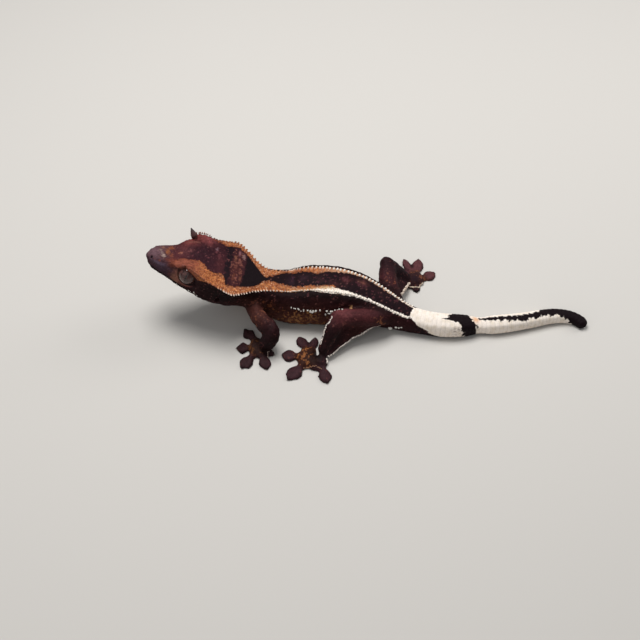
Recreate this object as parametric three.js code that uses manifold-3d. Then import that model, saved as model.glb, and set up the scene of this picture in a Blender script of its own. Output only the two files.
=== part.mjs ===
// A crested gecko as a life-size museum model, lying alert on a flat floor with its head raised.
// Millimetres. +X runs from head to tail, +Y to the animal's right side, +Z up.
// The origin is on the floor, in the flat of the belly under the middle of the trunk.
// Each named mesh is one closed solid, and neighbours keep a gap of 0.3 mm.

import * as THREE from "three";
import { mergeVertices } from "three/addons/utils/BufferGeometryUtils.js";
import Module from "manifold-3d";

const wasm = await Module();
wasm.setup();

// Driving dimensions
const GAP = 0.3;
const HEAD_LENGTH = 38.5; // snout tip to nape, along the head's straight axis
const HEAD_PITCH = THREE.MathUtils.degToRad(20);
const HEAD_YAW = THREE.MathUtils.degToRad(3.8);
const NAPE = [-17.0, -0.6, 10.1]; // the axis point at the nape
const SNOUT_ROUNDING = 3.4;
const TAIL_ROUNDING = 1.7;
const BELLY_SINK = 0.25; // how far the round belly and tail press into their flats on the floor

const EYE_RADIUS = 3.05;
const EYE_AT = { along: 13.6, side: 5.3, up: 2.3 };
const EYE_LOOKS = [-0.25, 0.93, 0.28]; // back, side and up shares of the way the right eye looks
const RIM_THICKNESS = 0.55;
const NOSTRIL = { along: 1.8, side: 1.8, up: 1.4, radius: 0.5 };
const EAR = { along: 24.2, side: 9.7, up: -0.6, radius: 0.95 };
const CREST_RIDGE = 0.35; // how far the fold of the crest stands out of the section
const MOUTH = [[-1, -0.75], [4, -1.0], [10, -1.7], [15.5, -2.5], [19.5, -2.1], [22, -1.3]]; // along, up
const JAW_ANGLE = [25.5, -8]; // where the cut behind the lower jaw leaves the throat
const LIP_RADIUS = 0.32;

const SPINE = { to: 86, spacing: 1.9, base: 0.5 };
const LASHES = [[11.6, 2.7, 0.85], [13.2, 1.2, 0.5], [14.6, 1.0, 0.5], [16.0, 0.9, 0.5]]; // along, length, base
const LASH_DIRECTION = { side: 0.7, up: 0.8, back: -0.5 };
const CREST_HEIGHT = [[9, 1.0], [20, 0.8], [25, 1.05], [33, 0.95], [42, 0.85], [60, 0.75], [86, 0.6]];

// Limbs as the joints from root to wrist or ankle. Radii rows are [share of the length, across, through].
const ARM_RADII = [[0, 2.9, 2.9], [0.3, 2.5, 2.5], [0.58, 2.7, 3.0], [0.8, 2.6, 3.0], [1, 2.0, 2.2]];
const THIGH_RADII = [[0, 3.4, 3.0], [0.4, 3.2, 2.8], [0.8, 2.8, 2.5], [1, 2.7, 2.4]];
const SHANK_RADII = [[0, 2.4, 2.2], [0.3, 2.6, 2.3], [0.7, 1.9, 1.7], [1, 1.7, 1.4]];

// The trunk's axis behind the nape as [x, y]; its height is the depth of the belly below it.
const AXIS_BEHIND_NAPE = [
  [-9.2, -0.5], [-2.2, 0], [4.4, -0.2], [10.6, -1.0], [16.9, -2.8], [23.1, -5.3], [29.2, -7.7],
  [34.2, -9.0], [38.8, -9.9], [43.8, -10.1], [49.4, -9.5], [54.9, -9.3], [61.5, -8.4],
  [68.4, -6.9], [73.4, -5.6], [77.8, -5.1], [81.3, -5.6], [83.8, -7.1], [85.2, -9.2],
];

// Cross-sections by distance from the snout tip. The crest is the ridge along each side of the crown and the back.
// Columns: along, crest half-width, crest up, mid-line up, widest half-width, its height, belly half-width, belly down.
const SECTIONS = [
  [0.0, 1.9, 1.6, 2.2, 2.4, -0.3, 1.2, 1.8],
  [3.0, 2.7, 2.3, 2.9, 3.8, -0.5, 2.0, 2.6],
  [8.0, 3.8, 3.6, 3.5, 5.4, -1.0, 2.8, 3.3],
  [11.0, 5.7, 5.8, 4.1, 6.5, -1.5, 3.4, 3.8],
  [13.0, 7.5, 7.6, 4.7, 7.1, -1.7, 3.7, 4.0],
  [16.0, 8.9, 7.2, 5.2, 7.9, -1.8, 4.2, 4.4],
  [19.0, 9.2, 6.0, 5.5, 8.8, -1.8, 4.6, 4.8],
  [23.0, 9.95, 5.4, 5.7, 9.5, -1.4, 5.0, 5.3],
  [27.3, 11.0, 5.25, 5.7, 9.3, -0.9, 4.8, 5.6],
  [31.0, 8.8, 4.8, 5.4, 7.9, -0.4, 4.2, 5.7],
  [35.0, 5.6, 4.0, 4.8, 6.7, -0.2, 3.8, 6.0],
  [38.5, 4.3, 4.1, 4.7, 6.6, -0.3, 3.7, 6.5],
  [45.0, 4.7, 5.8, 6.2, 7.9, -0.4, 4.6, 6.9],
  [54.0, 4.9, 6.7, 7.2, 9.2, -0.6, 6.0, 7.1],
  [63.0, 4.7, 6.5, 7.0, 9.2, -0.6, 6.0, 7.0],
  [70.0, 4.1, 5.8, 6.2, 8.0, -0.5, 5.0, 6.4],
  [77.0, 3.3, 4.6, 5.0, 6.2, -0.3, 3.5, 5.3],
  [84.0, 2.6, 3.3, 3.8, 4.4, -0.2, 2.3, 4.2],
  [90.0, 2.2, 2.8, 3.4, 3.7, 0.0, 1.8, 3.6],
  [100.0, 2.1, 2.7, 3.3, 3.5, 0.0, 1.7, 3.4],
  [105.0, 1.9, 2.5, 3.0, 3.2, 0.0, 1.6, 3.1],
  [109.5, 1.4, 1.8, 2.3, 2.4, 0.0, 1.2, 2.4],
  [114.0, 1.7, 2.2, 2.7, 2.8, 0.0, 1.4, 2.7],
  [123.0, 1.6, 2.0, 2.5, 2.6, 0.0, 1.3, 2.5],
  [133.0, 1.4, 1.8, 2.2, 2.3, 0.0, 1.2, 2.2],
  [141.0, 1.2, 1.4, 1.7, 1.9, 0.0, 1.1, 1.8],
  [150.0, 1.0, 1.1, 1.4, 1.7, 0.0, 1.0, 1.4],
];

// Where the trunk is parted, as distances from the snout tip.
const PARTINGS = { head: 33, neck: 43, torso: 87.5, tailBase: 109.5, tailMiddle: 131 };

const ARMS = {
  left: [
    [-20.6, -3.5, 8.5], [-20.0, -8.6, 8.9], [-17.4, -13.2, 8.8],
    [-14.6, -16.3, 7.6], [-15.3, -17.6, 4.8], [-17.8, -17.8, 2.3],
  ],
  right: [
    [-18.6, 2.5, 8.0], [-18.6, 6.0, 6.4], [-18.4, 8.8, 4.8],
    [-20.4, 11.5, 3.7], [-23.4, 14.0, 3.0], [-26.6, 15.8, 2.0],
  ],
};
const ELBOW = 0.52; // share of the arm at which upper arm and forearm part
const THIGHS = {
  left: [[24.0, -6.2, 5.0], [19.0, -9.4, 6.6], [13.4, -11.4, 8.6], [6.2, -12.7, 10.2]],
  right: [[25.0, -5.5, 5.0], [23.6, -0.5, 6.2], [22.5, 5.2, 7.9], [22.4, 11.0, 9.1]],
};
const SHANKS = {
  left: [[6.2, -12.7, 10.2], [3.6, -17.2, 6.8], [0.9, -21.2, 2.4]],
  right: [[22.4, 11.0, 9.1], [26.2, 10.6, 5.6], [30.2, 10.4, 2.3]],
};
// The fold of skin that fills the bend of the knee: its free edge from the thigh's root to the heel, then back
// along the shank and the thigh.
const KNEE_FOLDS = {
  left: [
    [19.6, -10.8, 4.0], [14.6, -13.6, 3.9], [9.0, -17.2, 3.2], [3.2, -22.0, 1.7],
    [2.4, -18.0, 6.0], [6.4, -13.2, 9.6], [14.0, -11.4, 8.0],
  ],
  right: [
    [26.4, 0.4, 3.9], [27.9, 4.3, 3.2], [29.2, 7.2, 2.5], [29.9, 9.2, 1.8],
    [28.6, 10.6, 4.0], [24.0, 9.8, 7.8], [23.2, 4.8, 7.2], [24.2, -1.0, 5.8],
  ],
};
const FOLD_THICKNESS = 0.9;

// Feet. Palm and heel are domes as [x, y, radius, height].
// Digits, first to fifth, are [root x, root y, tip x, tip y, half-width of the pad].
const FEET = {
  left_fore: {
    palm: [-19.0, -17.3, 3.0, 2.2], heel: [-16.9, -17.8, 2.2, 2.4],
    digits: [
      [-19.1, -14.7, -23.4, -10.0, 1.65], [-20.2, -16.9, -25.5, -17.3, 1.9], [-19.6, -19.0, -23.6, -25.0, 1.9],
      [-17.6, -19.2, -15.9, -25.4, 1.7], [-17.2, -18.2, -13.9, -19.7, 1.1],
    ],
  },
  right_fore: {
    palm: [-28.2, 16.3, 3.0, 2.2], heel: [-26.6, 15.8, 2.2, 2.5],
    digits: [
      [-28.4, 14.6, -30.4, 9.6, 1.6], [-29.6, 15.8, -35.6, 14.7, 1.85], [-29.4, 17.4, -35.0, 21.9, 1.95],
      [-28.2, 18.0, -28.2, 24.6, 1.85], [-26.8, 17.2, -22.2, 20.7, 1.6],
    ],
  },
  left_hind: {
    palm: [-3.2, -21.4, 3.6, 2.3], heel: [0.6, -23.0, 2.5, 2.8],
    digits: [
      [-1.7, -18.4, -0.8, -13.3, 1.2], [-3.2, -18.2, -6.1, -13.1, 1.65], [-5.2, -20.6, -11.1, -20.0, 2.15],
      [-4.2, -23.0, -9.2, -29.4, 2.15], [1.0, -23.8, 2.9, -30.7, 1.95],
    ],
  },
  right_hind: {
    palm: [32.6, 11.6, 3.0, 2.3], heel: [30.6, 10.2, 2.2, 2.6],
    digits: [
      [31.2, 12.6, 26.9, 16.4, 1.2], [31.2, 13.5, 29.0, 21.0, 1.1], [32.8, 13.2, 33.9, 20.9, 1.8],
      [33.8, 11.6, 38.9, 14.7, 1.9], [32.0, 10.2, 32.6, 6.6, 1.2],
    ],
  },
};
const WEB = { reach: 0.4, dip: 0.3 }; // how far the web goes out along a digit, and its dip for each radian between two

// Along a digit: share of its length, half-width and height; the pad's half-width is the digit's own.
const DIGIT_FORM = [
  { share: 0.0, wide: 0.8, high: 1.5 }, { share: 0.3, pad: 0.48, high: 1.3 }, { share: 0.46, pad: 0.84, high: 1.15 },
  { share: 0.63, pad: 1.0, high: 1.05 }, { share: 0.79, pad: 0.84, high: 0.95 }, { share: 0.91, pad: 0.48, high: 0.8 },
  { share: 0.97, pad: 0.2, high: 0.55 },
];
const CLAW = { from: 0.9, length: 1.15, base: 0.3, height: 0.5 };

// Colours
const chocolate = new THREE.MeshStandardMaterial({ color: 0x2e1712, roughness: 0.75, metalness: 0 });
const rust = new THREE.MeshStandardMaterial({ color: 0x8a4a24, roughness: 0.75, metalness: 0 });
const cream = new THREE.MeshStandardMaterial({ color: 0xe6dccb, roughness: 0.7, metalness: 0 });
const iris = new THREE.MeshStandardMaterial({ color: 0x4a3f38, roughness: 0.1, metalness: 0 });

// Smooth curve through [at, value...] rows: cubic pieces whose slope at a row is the mean of its two neighbours' slopes.
function smoothRow(rows, at) {
  const last = rows.length - 1;
  let i = 0;
  while (i < last - 1 && at > rows[i + 1][0]) i += 1;
  const [a, b] = [rows[i], rows[i + 1]];
  const before = rows[Math.max(i - 1, 0)];
  const after = rows[Math.min(i + 2, last)];
  const span = b[0] - a[0];
  const t = Math.min(Math.max((at - a[0]) / span, 0), 1);
  const [t2, t3] = [t * t, t * t * t];
  return a.map((value, k) => {
    const slopeA = ((b[k] - before[k]) / (b[0] - before[0])) * span;
    const slopeB = ((after[k] - a[k]) / (after[0] - a[0])) * span;
    return (2 * t3 - 3 * t2 + 1) * value + (t3 - 2 * t2 + t) * slopeA
      + (3 * t2 - 2 * t3) * b[k] + (t3 - t2) * slopeB;
  });
}

function sectionAt(along) {
  const [, crest, crestUp, backUp, side, sideUp, belly, bellyDown] = smoothRow(SECTIONS, along);
  return { crest, crestUp, backUp, side, sideUp, belly, bellyDown };
}

// The axis of head, trunk and tail, as rows of [distance from the snout tip, x, y, z].
const headForward = new THREE.Vector3(
  -Math.cos(HEAD_PITCH) * Math.cos(HEAD_YAW),
  Math.cos(HEAD_PITCH) * Math.sin(HEAD_YAW),
  Math.sin(HEAD_PITCH),
);
const nape = new THREE.Vector3(...NAPE);
const snout = nape.clone().addScaledVector(headForward, HEAD_LENGTH);

function axisRows() {
  const headStep = HEAD_LENGTH / 4;
  const points = [];
  for (let i = 0; i <= 4; i += 1) {
    points.push(snout.clone().addScaledVector(headForward, -headStep * i));
  }
  for (const [x, y] of AXIS_BEHIND_NAPE) {
    const reach = points[points.length - 1];
    points.push(new THREE.Vector3(x, y, reach.z));
  }
  let rows = [];
  for (let pass = 0; pass < 3; pass += 1) {
    let along = 0;
    rows = points.map((p, i) => {
      along += i ? p.distanceTo(points[i - 1]) : 0;
      return [along, p.x, p.y, p.z];
    });
    points.forEach((p, i) => {
      if (i > 4) p.z = sectionAt(rows[i][0]).bellyDown - BELLY_SINK;
    });
  }
  return rows;
}
const AXIS = axisRows();
const TAIL_TIP = AXIS[AXIS.length - 1][0];

// Position and directions on the axis: back is tailward, side is the animal's right, up is away from the belly.
function frameAt(along) {
  const place = (d) => new THREE.Vector3(...smoothRow(AXIS, Math.min(Math.max(d, 0), TAIL_TIP)).slice(1));
  const step = 0.5;
  const at = place(along);
  const back = place(along + step).sub(place(along - step)).normalize();
  const side = new THREE.Vector3(0, 0, 1).cross(back).normalize();
  const up = back.clone().cross(side);
  return { at, back, side, up };
}

function onTrunk(along, side, up) {
  const f = frameAt(along);
  return f.at.addScaledVector(f.side, side).addScaledVector(f.up, up);
}

// How far the round snout and the round tail tip draw the section in: the height of a circle near its edge.
function endRounding(along) {
  const dome = (d, reach) => Math.sqrt(Math.max(1 - (1 - Math.min(d / reach, 1)) ** 2, 0));
  return dome(along, SNOUT_ROUNDING) * dome(TAIL_TIP - along, TAIL_ROUNDING);
}

// One half of a section from the mid-line of the back to that of the belly: a low arch to the crest,
// a quarter of an ellipse down to the widest point, another quarter under to the belly, then flat.
function halfSection(s) {
  const half = [];
  const arch = 3, upper = 4, lower = 4, under = 1;
  for (let i = 0; i < arch; i += 1) {
    const t = i / arch;
    half.push([s.crest * t, s.backUp + (s.crestUp - s.backUp) * t * t]);
  }
  for (let i = 0; i < upper; i += 1) {
    const a = (i / upper) * (Math.PI / 2);
    const ridge = i === 0 ? CREST_RIDGE : 0;
    half.push([
      s.crest + (s.side - s.crest) * Math.sin(a) + ridge * 0.6,
      s.sideUp + (s.crestUp - s.sideUp) * Math.cos(a) + ridge * 0.8,
    ]);
  }
  for (let i = 0; i <= lower; i += 1) {
    const a = (i / lower) * (Math.PI / 2);
    half.push([s.belly + (s.side - s.belly) * Math.cos(a), s.sideUp - (s.sideUp + s.bellyDown) * Math.sin(a)]);
  }
  for (let i = 1; i <= under; i += 1) half.push([s.belly * (1 - i / under), -s.bellyDown]);
  return half;
}

function trunkRing(along, grow = 0) {
  const rounding = endRounding(along);
  const half = halfSection(sectionAt(along));
  const other = half.slice(1, -1).reverse().map(([side, up]) => [-side, up]);
  return [...half, ...other].map(([side, up]) => {
    const reach = Math.hypot(side, up) || 1;
    const scale = rounding + grow / reach;
    const p = onTrunk(along, side * scale, up * scale);
    if (grow === 0) p.z = Math.max(p.z, 0);
    return p;
  });
}

// Solids

function solidOf(geometry) {
  const g = geometry.index ? geometry.toNonIndexed() : geometry.clone();
  g.deleteAttribute("normal");
  g.deleteAttribute("uv");
  const merged = mergeVertices(g, 1e-4);
  return new wasm.Manifold(new wasm.Mesh({
    numProp: 3,
    vertProperties: merged.attributes.position.array,
    triVerts: new Uint32Array(merged.index.array),
  }));
}

// A closed skin over a row of rings with like counts. Each end is closed by a fan round its mean point, or the
// last one round a given tip.
function loft(rings, tip) {
  const count = rings[0].length;
  const points = rings.flat();
  const faces = [];
  for (let i = 0; i + 1 < rings.length; i += 1) {
    for (let j = 0; j < count; j += 1) {
      const [a, b] = [i * count + j, i * count + ((j + 1) % count)];
      faces.push([a, b, b + count], [a, b + count, a + count]);
    }
  }
  for (const [ring, first] of [[rings[0], 0], [rings[rings.length - 1], (rings.length - 1) * count]]) {
    const middle = ring.reduce((sum, p) => sum.add(p), new THREE.Vector3()).divideScalar(count);
    points.push(first === 0 ? middle : tip ?? middle);
    for (let j = 0; j < count; j += 1) {
      const [a, b] = [first + j, first + ((j + 1) % count)];
      faces.push(first === 0 ? [points.length - 1, b, a] : [points.length - 1, a, b]);
    }
  }
  const build = (flip) => {
    const g = new THREE.BufferGeometry();
    g.setAttribute("position", new THREE.Float32BufferAttribute(points.flatMap((p) => [p.x, p.y, p.z]), 3));
    g.setIndex(faces.flatMap(([a, b, c]) => (flip ? [a, c, b] : [a, b, c])));
    return solidOf(g);
  };
  const made = build(false);
  return made.volume() > 0 ? made : build(true);
}

function spaced(from, to, count) {
  return Array.from({ length: count + 1 }, (_, i) => from + ((to - from) * i) / count);
}

function trunkLength(from, to, count, grow = 0) {
  return loft(spaced(from, to, count).map((along) => trunkRing(along, grow)));
}

// A limb: rings of an ellipse along a smooth curve through its joints, with domed ends.
// Radii rows are [share of the length, radius across, radius through].
function limb(joints, radii, sides = 10, steps = 10, grow = 0) {
  const curve = new THREE.CatmullRomCurve3(joints.map((p) => new THREE.Vector3(...p)), false, "centripetal");
  const length = curve.getLength();
  const shares = [0.02, 0.07, ...spaced(0.15, 0.85, steps), 0.93, 0.98];
  const rings = shares.map((share) => {
    const at = curve.getPointAt(share);
    const along = curve.getTangentAt(share);
    const across = new THREE.Vector3(0, 0, 1).cross(along).normalize();
    const through = along.clone().cross(across);
    const [, wide, thick] = smoothRow(radii, share);
    const toEnd = Math.min(share, 1 - share) * length;
    const dome = Math.sqrt(1 - (1 - Math.min(toEnd / wide, 1)) ** 2);
    return spaced(0, 2 * Math.PI, sides).slice(0, -1).map((a) => at.clone()
      .addScaledVector(across, Math.cos(a) * (wide * dome + grow))
      .addScaledVector(through, Math.sin(a) * (thick * dome + grow)));
  });
  return loft(rings);
}

function joined(solids) {
  return wasm.Manifold.union(solids);
}

function largest(solid) {
  return solid.decompose().sort((a, b) => b.volume() - a.volume())[0];
}

// A pointed scale: a four-sided spike with a shoulder half-way up, its root sunk below the base point.
function spike(base, direction, length, radius, root = 0.45) {
  const d = direction.clone().normalize();
  const across = new THREE.Vector3(0, 0, 1).cross(d).normalize();
  const through = d.clone().cross(across);
  const ring = (reach, r) => [0, 1, 2, 3].map((i) => base.clone().addScaledVector(d, reach)
    .addScaledVector(across, r * Math.cos((i * Math.PI) / 2))
    .addScaledVector(through, r * Math.sin((i * Math.PI) / 2)));
  return loft([ring(-root, radius), ring(length * 0.5, radius * 0.72)], base.clone().addScaledVector(d, length));
}

function crestPoint(along, hand) {
  const s = sectionAt(along);
  return onTrunk(along, hand * (s.crest + 0.1), s.crestUp + 0.1);
}

// On the head the spines of the crest point out to the side, and on the back more upwards.
function crestDirection(along, hand) {
  const f = frameAt(along);
  const onBack = THREE.MathUtils.smoothstep(along, 30, 46);
  return f.side.multiplyScalar(hand * (0.95 - 0.45 * onBack))
    .addScaledVector(f.up, 0.4 + 0.35 * onBack)
    .addScaledVector(f.back, 0.3);
}

function spinesBetween(from, to) {
  const made = [];
  const clear = 0.9;
  for (const hand of [-1, 1]) {
    for (const [along, length, base] of LASHES) {
      if (along < from || along > to) continue;
      const f = frameAt(along);
      const direction = f.side.multiplyScalar(hand * LASH_DIRECTION.side)
        .addScaledVector(f.up, LASH_DIRECTION.up).addScaledVector(f.back, LASH_DIRECTION.back);
      made.push(spike(crestPoint(along, hand), direction, length, base));
    }
    const first = LASHES[LASHES.length - 1][0] + SPINE.spacing * 0.8;
    for (let along = first; along < SPINE.to; along += SPINE.spacing) {
      if (along < from + clear || along > to - clear) continue;
      const [, height] = smoothRow(CREST_HEIGHT, along);
      made.push(spike(crestPoint(along, hand), crestDirection(along, hand), height, SPINE.base));
    }
  }
  return made;
}

// Head pieces, all placed in the head's own frame
const lookOf = (hand) => {
  const f = frameAt(EYE_AT.along);
  return f.back.multiplyScalar(EYE_LOOKS[0]).addScaledVector(f.side, hand * EYE_LOOKS[1])
    .addScaledVector(f.up, EYE_LOOKS[2]).normalize();
};
const eyeCentre = (hand) => onTrunk(EYE_AT.along, hand * EYE_AT.side, EYE_AT.up);

function ball(centre, radius, wide, high) {
  const g = new THREE.SphereGeometry(radius, wide, high);
  g.translate(centre.x, centre.y, centre.z);
  return solidOf(g);
}

function eyeRim(hand) {
  const g = new THREE.TorusGeometry(EYE_RADIUS * 0.93, RIM_THICKNESS, 6, 16);
  g.applyQuaternion(new THREE.Quaternion().setFromUnitVectors(new THREE.Vector3(0, 0, 1), lookOf(hand)));
  const at = eyeCentre(hand).addScaledVector(lookOf(hand), EYE_RADIUS * 0.42);
  g.translate(at.x, at.y, at.z);
  return solidOf(g);
}

// The point of the trunk's skin at a height beside the axis, found on the section's quarter ellipses.
function skinPoint(along, hand, up) {
  const s = sectionAt(along);
  const above = up > s.sideUp;
  const share = above
    ? (up - s.sideUp) / (s.crestUp - s.sideUp)
    : (s.sideUp - up) / (s.sideUp + s.bellyDown);
  const inner = above ? s.crest : s.belly;
  const round = Math.sqrt(Math.max(1 - Math.min(share, 1) ** 2, 0));
  const side = inner + (s.side - inner) * round;
  return onTrunk(along, hand * side * endRounding(along), up * endRounding(along));
}

// A lip: a thin roll of skin beside the line of the mouth, from the front of the snout to the corner.
function lip(hand, above) {
  const rise = above ? LIP_RADIUS : -LIP_RADIUS - GAP;
  const points = spaced(1.6, 20.5, 9).map((along) => {
    const [, up] = smoothRow(MOUTH, along);
    return skinPoint(along, hand, up + rise).toArray();
  });
  return limb(points, [[0, LIP_RADIUS * 0.9, LIP_RADIUS * 0.9], [1, LIP_RADIUS, LIP_RADIUS]], 5, 7);
}

// A blade as thick as the gap, along the mouth and then down behind the jaw, right across the head.
function mouthBlade() {
  const path = [...MOUTH, JAW_ANGLE];
  const shape = new THREE.Shape();
  const half = GAP / 2;
  path.forEach(([a, u], i) => (i ? shape.lineTo(a, u + half) : shape.moveTo(a, u + half)));
  const [endAlong, endUp] = JAW_ANGLE;
  const under = [[endAlong - GAP, endUp], ...MOUTH.slice().reverse().map(([a, u], i) => [i ? a : a - GAP, u - half])];
  under.forEach(([a, u]) => shape.lineTo(a, u));
  shape.closePath();
  const reach = 16;
  const g = new THREE.ExtrudeGeometry(shape, { depth: 2 * reach, bevelEnabled: false, curveSegments: 1 });
  g.translate(0, 0, -reach);
  const f = frameAt(HEAD_LENGTH * 0.4);
  const place = new THREE.Matrix4().makeBasis(f.back, f.up, f.side.clone().negate());
  place.setPosition(snout);
  g.applyMatrix4(place);
  return solidOf(g);
}

// Limb pieces

// A piece of a limb's own curve between two shares of its length, cut square by two planes.
function limbPart(joints, radii, from, to, grow = 0) {
  const curve = new THREE.CatmullRomCurve3(joints.map((p) => new THREE.Vector3(...p)), false, "centripetal");
  const whole = limb(joints, radii, 10, 10, grow);
  const keepBetween = (solid, share, sign) => {
    const n = curve.getTangentAt(share).multiplyScalar(sign);
    return solid.trimByPlane([n.x, n.y, n.z], n.dot(curve.getPointAt(share)));
  };
  let part = whole;
  if (from > 0) part = keepBetween(part, from, 1);
  if (to < 1) part = keepBetween(part, to, -1);
  return part;
}

// A thin plate of even thickness over a polygon that is nearly flat.
function plate(corners, thickness) {
  const points = corners.map((p) => new THREE.Vector3(...p));
  const middle = points.reduce((sum, p) => sum.add(p), new THREE.Vector3()).divideScalar(points.length);
  const normal = new THREE.Vector3();
  points.forEach((p, i) => {
    const next = points[(i + 1) % points.length];
    normal.add(p.clone().sub(middle).cross(next.clone().sub(middle)));
  });
  normal.normalize();
  const side = (sign) => points.map((p) => p.clone().addScaledVector(normal, (sign * thickness) / 2));
  return loft([side(-1), side(1)]);
}

// A low dome on the floor, over an outline of [x, y] points round a centre.
function dome([x, y, , height], outline, grow = 0) {
  const heights = [0, 0.4, 0.75, 1];
  return loft(heights.map((share) => {
    const drawnIn = Math.max(Math.sqrt(1 - (share * 0.95) ** 2), 0.3);
    return outline.map(([px, py]) => {
      const reach = Math.hypot(px - x, py - y);
      const scale = drawnIn + grow / reach;
      return new THREE.Vector3(x + (px - x) * scale, y + (py - y) * scale, share * (height + grow));
    });
  }));
}

const roundOutline = ([x, y, radius]) => spaced(0, 2 * Math.PI, 12).slice(0, -1)
  .map((a) => [x + radius * Math.cos(a), y + radius * Math.sin(a)]);

// The palm's outline with its webbing: out along each digit, and in again between two digits.
function webbedOutline({ palm: [x, y, radius], digits }) {
  const around = digits.map(([rootX, rootY, tipX, tipY]) => {
    const at = [rootX + WEB.reach * (tipX - rootX), rootY + WEB.reach * (tipY - rootY)];
    return { at, angle: Math.atan2(at[1] - y, at[0] - x) };
  }).sort((a, b) => a.angle - b.angle);
  return around.flatMap(({ at, angle }, i) => {
    const next = around[(i + 1) % around.length];
    const turn = (next.angle - angle + 2 * Math.PI) % (2 * Math.PI);
    const reach = Math.hypot(at[0] - x, at[1] - y);
    const nextReach = Math.hypot(next.at[0] - x, next.at[1] - y);
    const between = [0.25, 0.5, 0.75].map((share) => {
      const webbed = reach * (1 - share) + nextReach * share;
      const dipped = webbed * (1 - WEB.dip * turn * Math.sin(share * Math.PI));
      const out = turn < Math.PI * 0.75 ? Math.max(dipped, radius * 0.8) : radius;
      return [x + out * Math.cos(angle + turn * share), y + out * Math.sin(angle + turn * share)];
    });
    return [at, ...between];
  });
}

// A digit lies flat on the floor: half an ellipse in section, narrow at the root, a broad pad and a small claw.
function digit([rootX, rootY, tipX, tipY, pad]) {
  const root = new THREE.Vector3(rootX, rootY, 0);
  const way = new THREE.Vector3(tipX, tipY, 0).sub(root);
  const length = way.length();
  way.normalize();
  const across = new THREE.Vector3(0, 0, 1).cross(way);
  const rings = DIGIT_FORM.map((form) => {
    const half = form.wide ?? form.pad * pad;
    const at = root.clone().addScaledVector(way, form.share * length);
    return spaced(0, Math.PI, 5).map((a) => at.clone()
      .addScaledVector(across, half * Math.cos(a)).setZ(form.high * Math.sin(a)));
  });
  const clawAt = root.clone().addScaledVector(way, CLAW.from * length).setZ(CLAW.height);
  const clawWay = way.clone().setZ(-0.16);
  return [loft(rings), spike(clawAt, clawWay, CLAW.length, CLAW.base, 0.2)];
}

function foot(form) {
  const domes = [dome(form.palm, webbedOutline(form)), dome(form.heel, roundOutline(form.heel))];
  return joined([...domes, ...form.digits.flatMap(digit)]);
}

function grownFoot(form) {
  return joined([dome(form.palm, webbedOutline(form), GAP), dome(form.heel, roundOutline(form.heel), GAP)]);
}

const model = new THREE.Group();

function addNode(name, solid, material) {
  const kept = largest(solid);
  const m = kept.getMesh();
  const geometry = new THREE.BufferGeometry();
  geometry.setAttribute("position", new THREE.BufferAttribute(m.vertProperties, 3));
  geometry.setIndex(new THREE.BufferAttribute(m.triVerts, 1));
  const mesh = new THREE.Mesh(geometry, material);
  mesh.name = name;
  model.add(mesh);
}

// Head: the skull with its crests, parted from the lower jaw along the mouth
const skull = loft([0.05, 0.5, 1.3, 2.4, ...spaced(3.8, PARTINGS.head, 19)].map((d) => trunkRing(d)));
const headPieces = [skull, ...spinesBetween(0, PARTINGS.head)];
const holes = [];
for (const hand of [-1, 1]) {
  headPieces.push(eyeRim(hand), lip(hand, true), lip(hand, false));
  holes.push(ball(eyeCentre(hand), EYE_RADIUS + GAP, 16, 10));
  holes.push(ball(onTrunk(NOSTRIL.along, hand * NOSTRIL.side, NOSTRIL.up), NOSTRIL.radius, 8, 6));
  holes.push(ball(onTrunk(EAR.along, hand * EAR.side, EAR.up), EAR.radius, 8, 6));
}
const [headSolid, jawSolid] = joined(headPieces).subtract(joined([...holes, mouthBlade()]))
  .decompose().sort((a, b) => b.volume() - a.volume());
addNode("head", headSolid, rust);
addNode("lower_jaw", jawSolid, chocolate);
addNode("eye_left", ball(eyeCentre(-1), EYE_RADIUS, 16, 10), iris);
addNode("eye_right", ball(eyeCentre(1), EYE_RADIUS, 16, 10), iris);

// Neck, torso and tail
const { head: headEnd, neck: neckEnd, torso: torsoEnd, tailBase: baseEnd, tailMiddle: middleEnd } = PARTINGS;
addNode("neck", joined([trunkLength(headEnd + GAP, neckEnd, 7), ...spinesBetween(headEnd + GAP, neckEnd)]), rust);
const bareTorso = trunkLength(neckEnd + GAP, torsoEnd, 22);
addNode("torso", joined([bareTorso, ...spinesBetween(neckEnd + GAP, torsoEnd)]), chocolate);
addNode("tail_base", trunkLength(torsoEnd + GAP, baseEnd, 12), cream);
addNode("tail_middle", trunkLength(baseEnd + GAP, middleEnd, 10), cream);
const tipSteps = [0.9, 0.35, 0.06].map((d) => TAIL_TIP - d);
const tailEndSteps = [...spaced(middleEnd + GAP, TAIL_TIP - TAIL_ROUNDING, 10), ...tipSteps];
addNode("tail_end", loft(tailEndSteps.map((along) => trunkRing(along))), cream);

// Limbs: each piece is cut clear of the one that it grows from
const grownTrunk = trunkLength(headEnd - 6, torsoEnd + 3, 34, GAP);
for (const side of ["left", "right"]) {
  const [fore, hind] = [FEET[side + "_fore"], FEET[side + "_hind"]];
  addNode(side + "_forefoot", foot(fore), chocolate);
  addNode(side + "_hind_foot", foot(hind), chocolate);
  const arm = ARMS[side];
  const split = GAP / 24;
  addNode(side + "_upper_arm", limbPart(arm, ARM_RADII, 0, ELBOW - split).subtract(grownTrunk), chocolate);
  addNode(side + "_forearm", limbPart(arm, ARM_RADII, ELBOW + split, 1).subtract(grownFoot(fore)), chocolate);
  const shank = limb(SHANKS[side], SHANK_RADII);
  addNode(side + "_shank", shank.subtract(grownFoot(hind)), chocolate);
  const thigh = joined([limb(THIGHS[side], THIGH_RADII), plate(KNEE_FOLDS[side], FOLD_THICKNESS)]);
  const clear = joined([grownTrunk, limb(SHANKS[side], SHANK_RADII, 10, 10, GAP), grownFoot(hind)]);
  addNode(side + "_thigh", thigh.subtract(clear), chocolate);
}

export default model;
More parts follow.
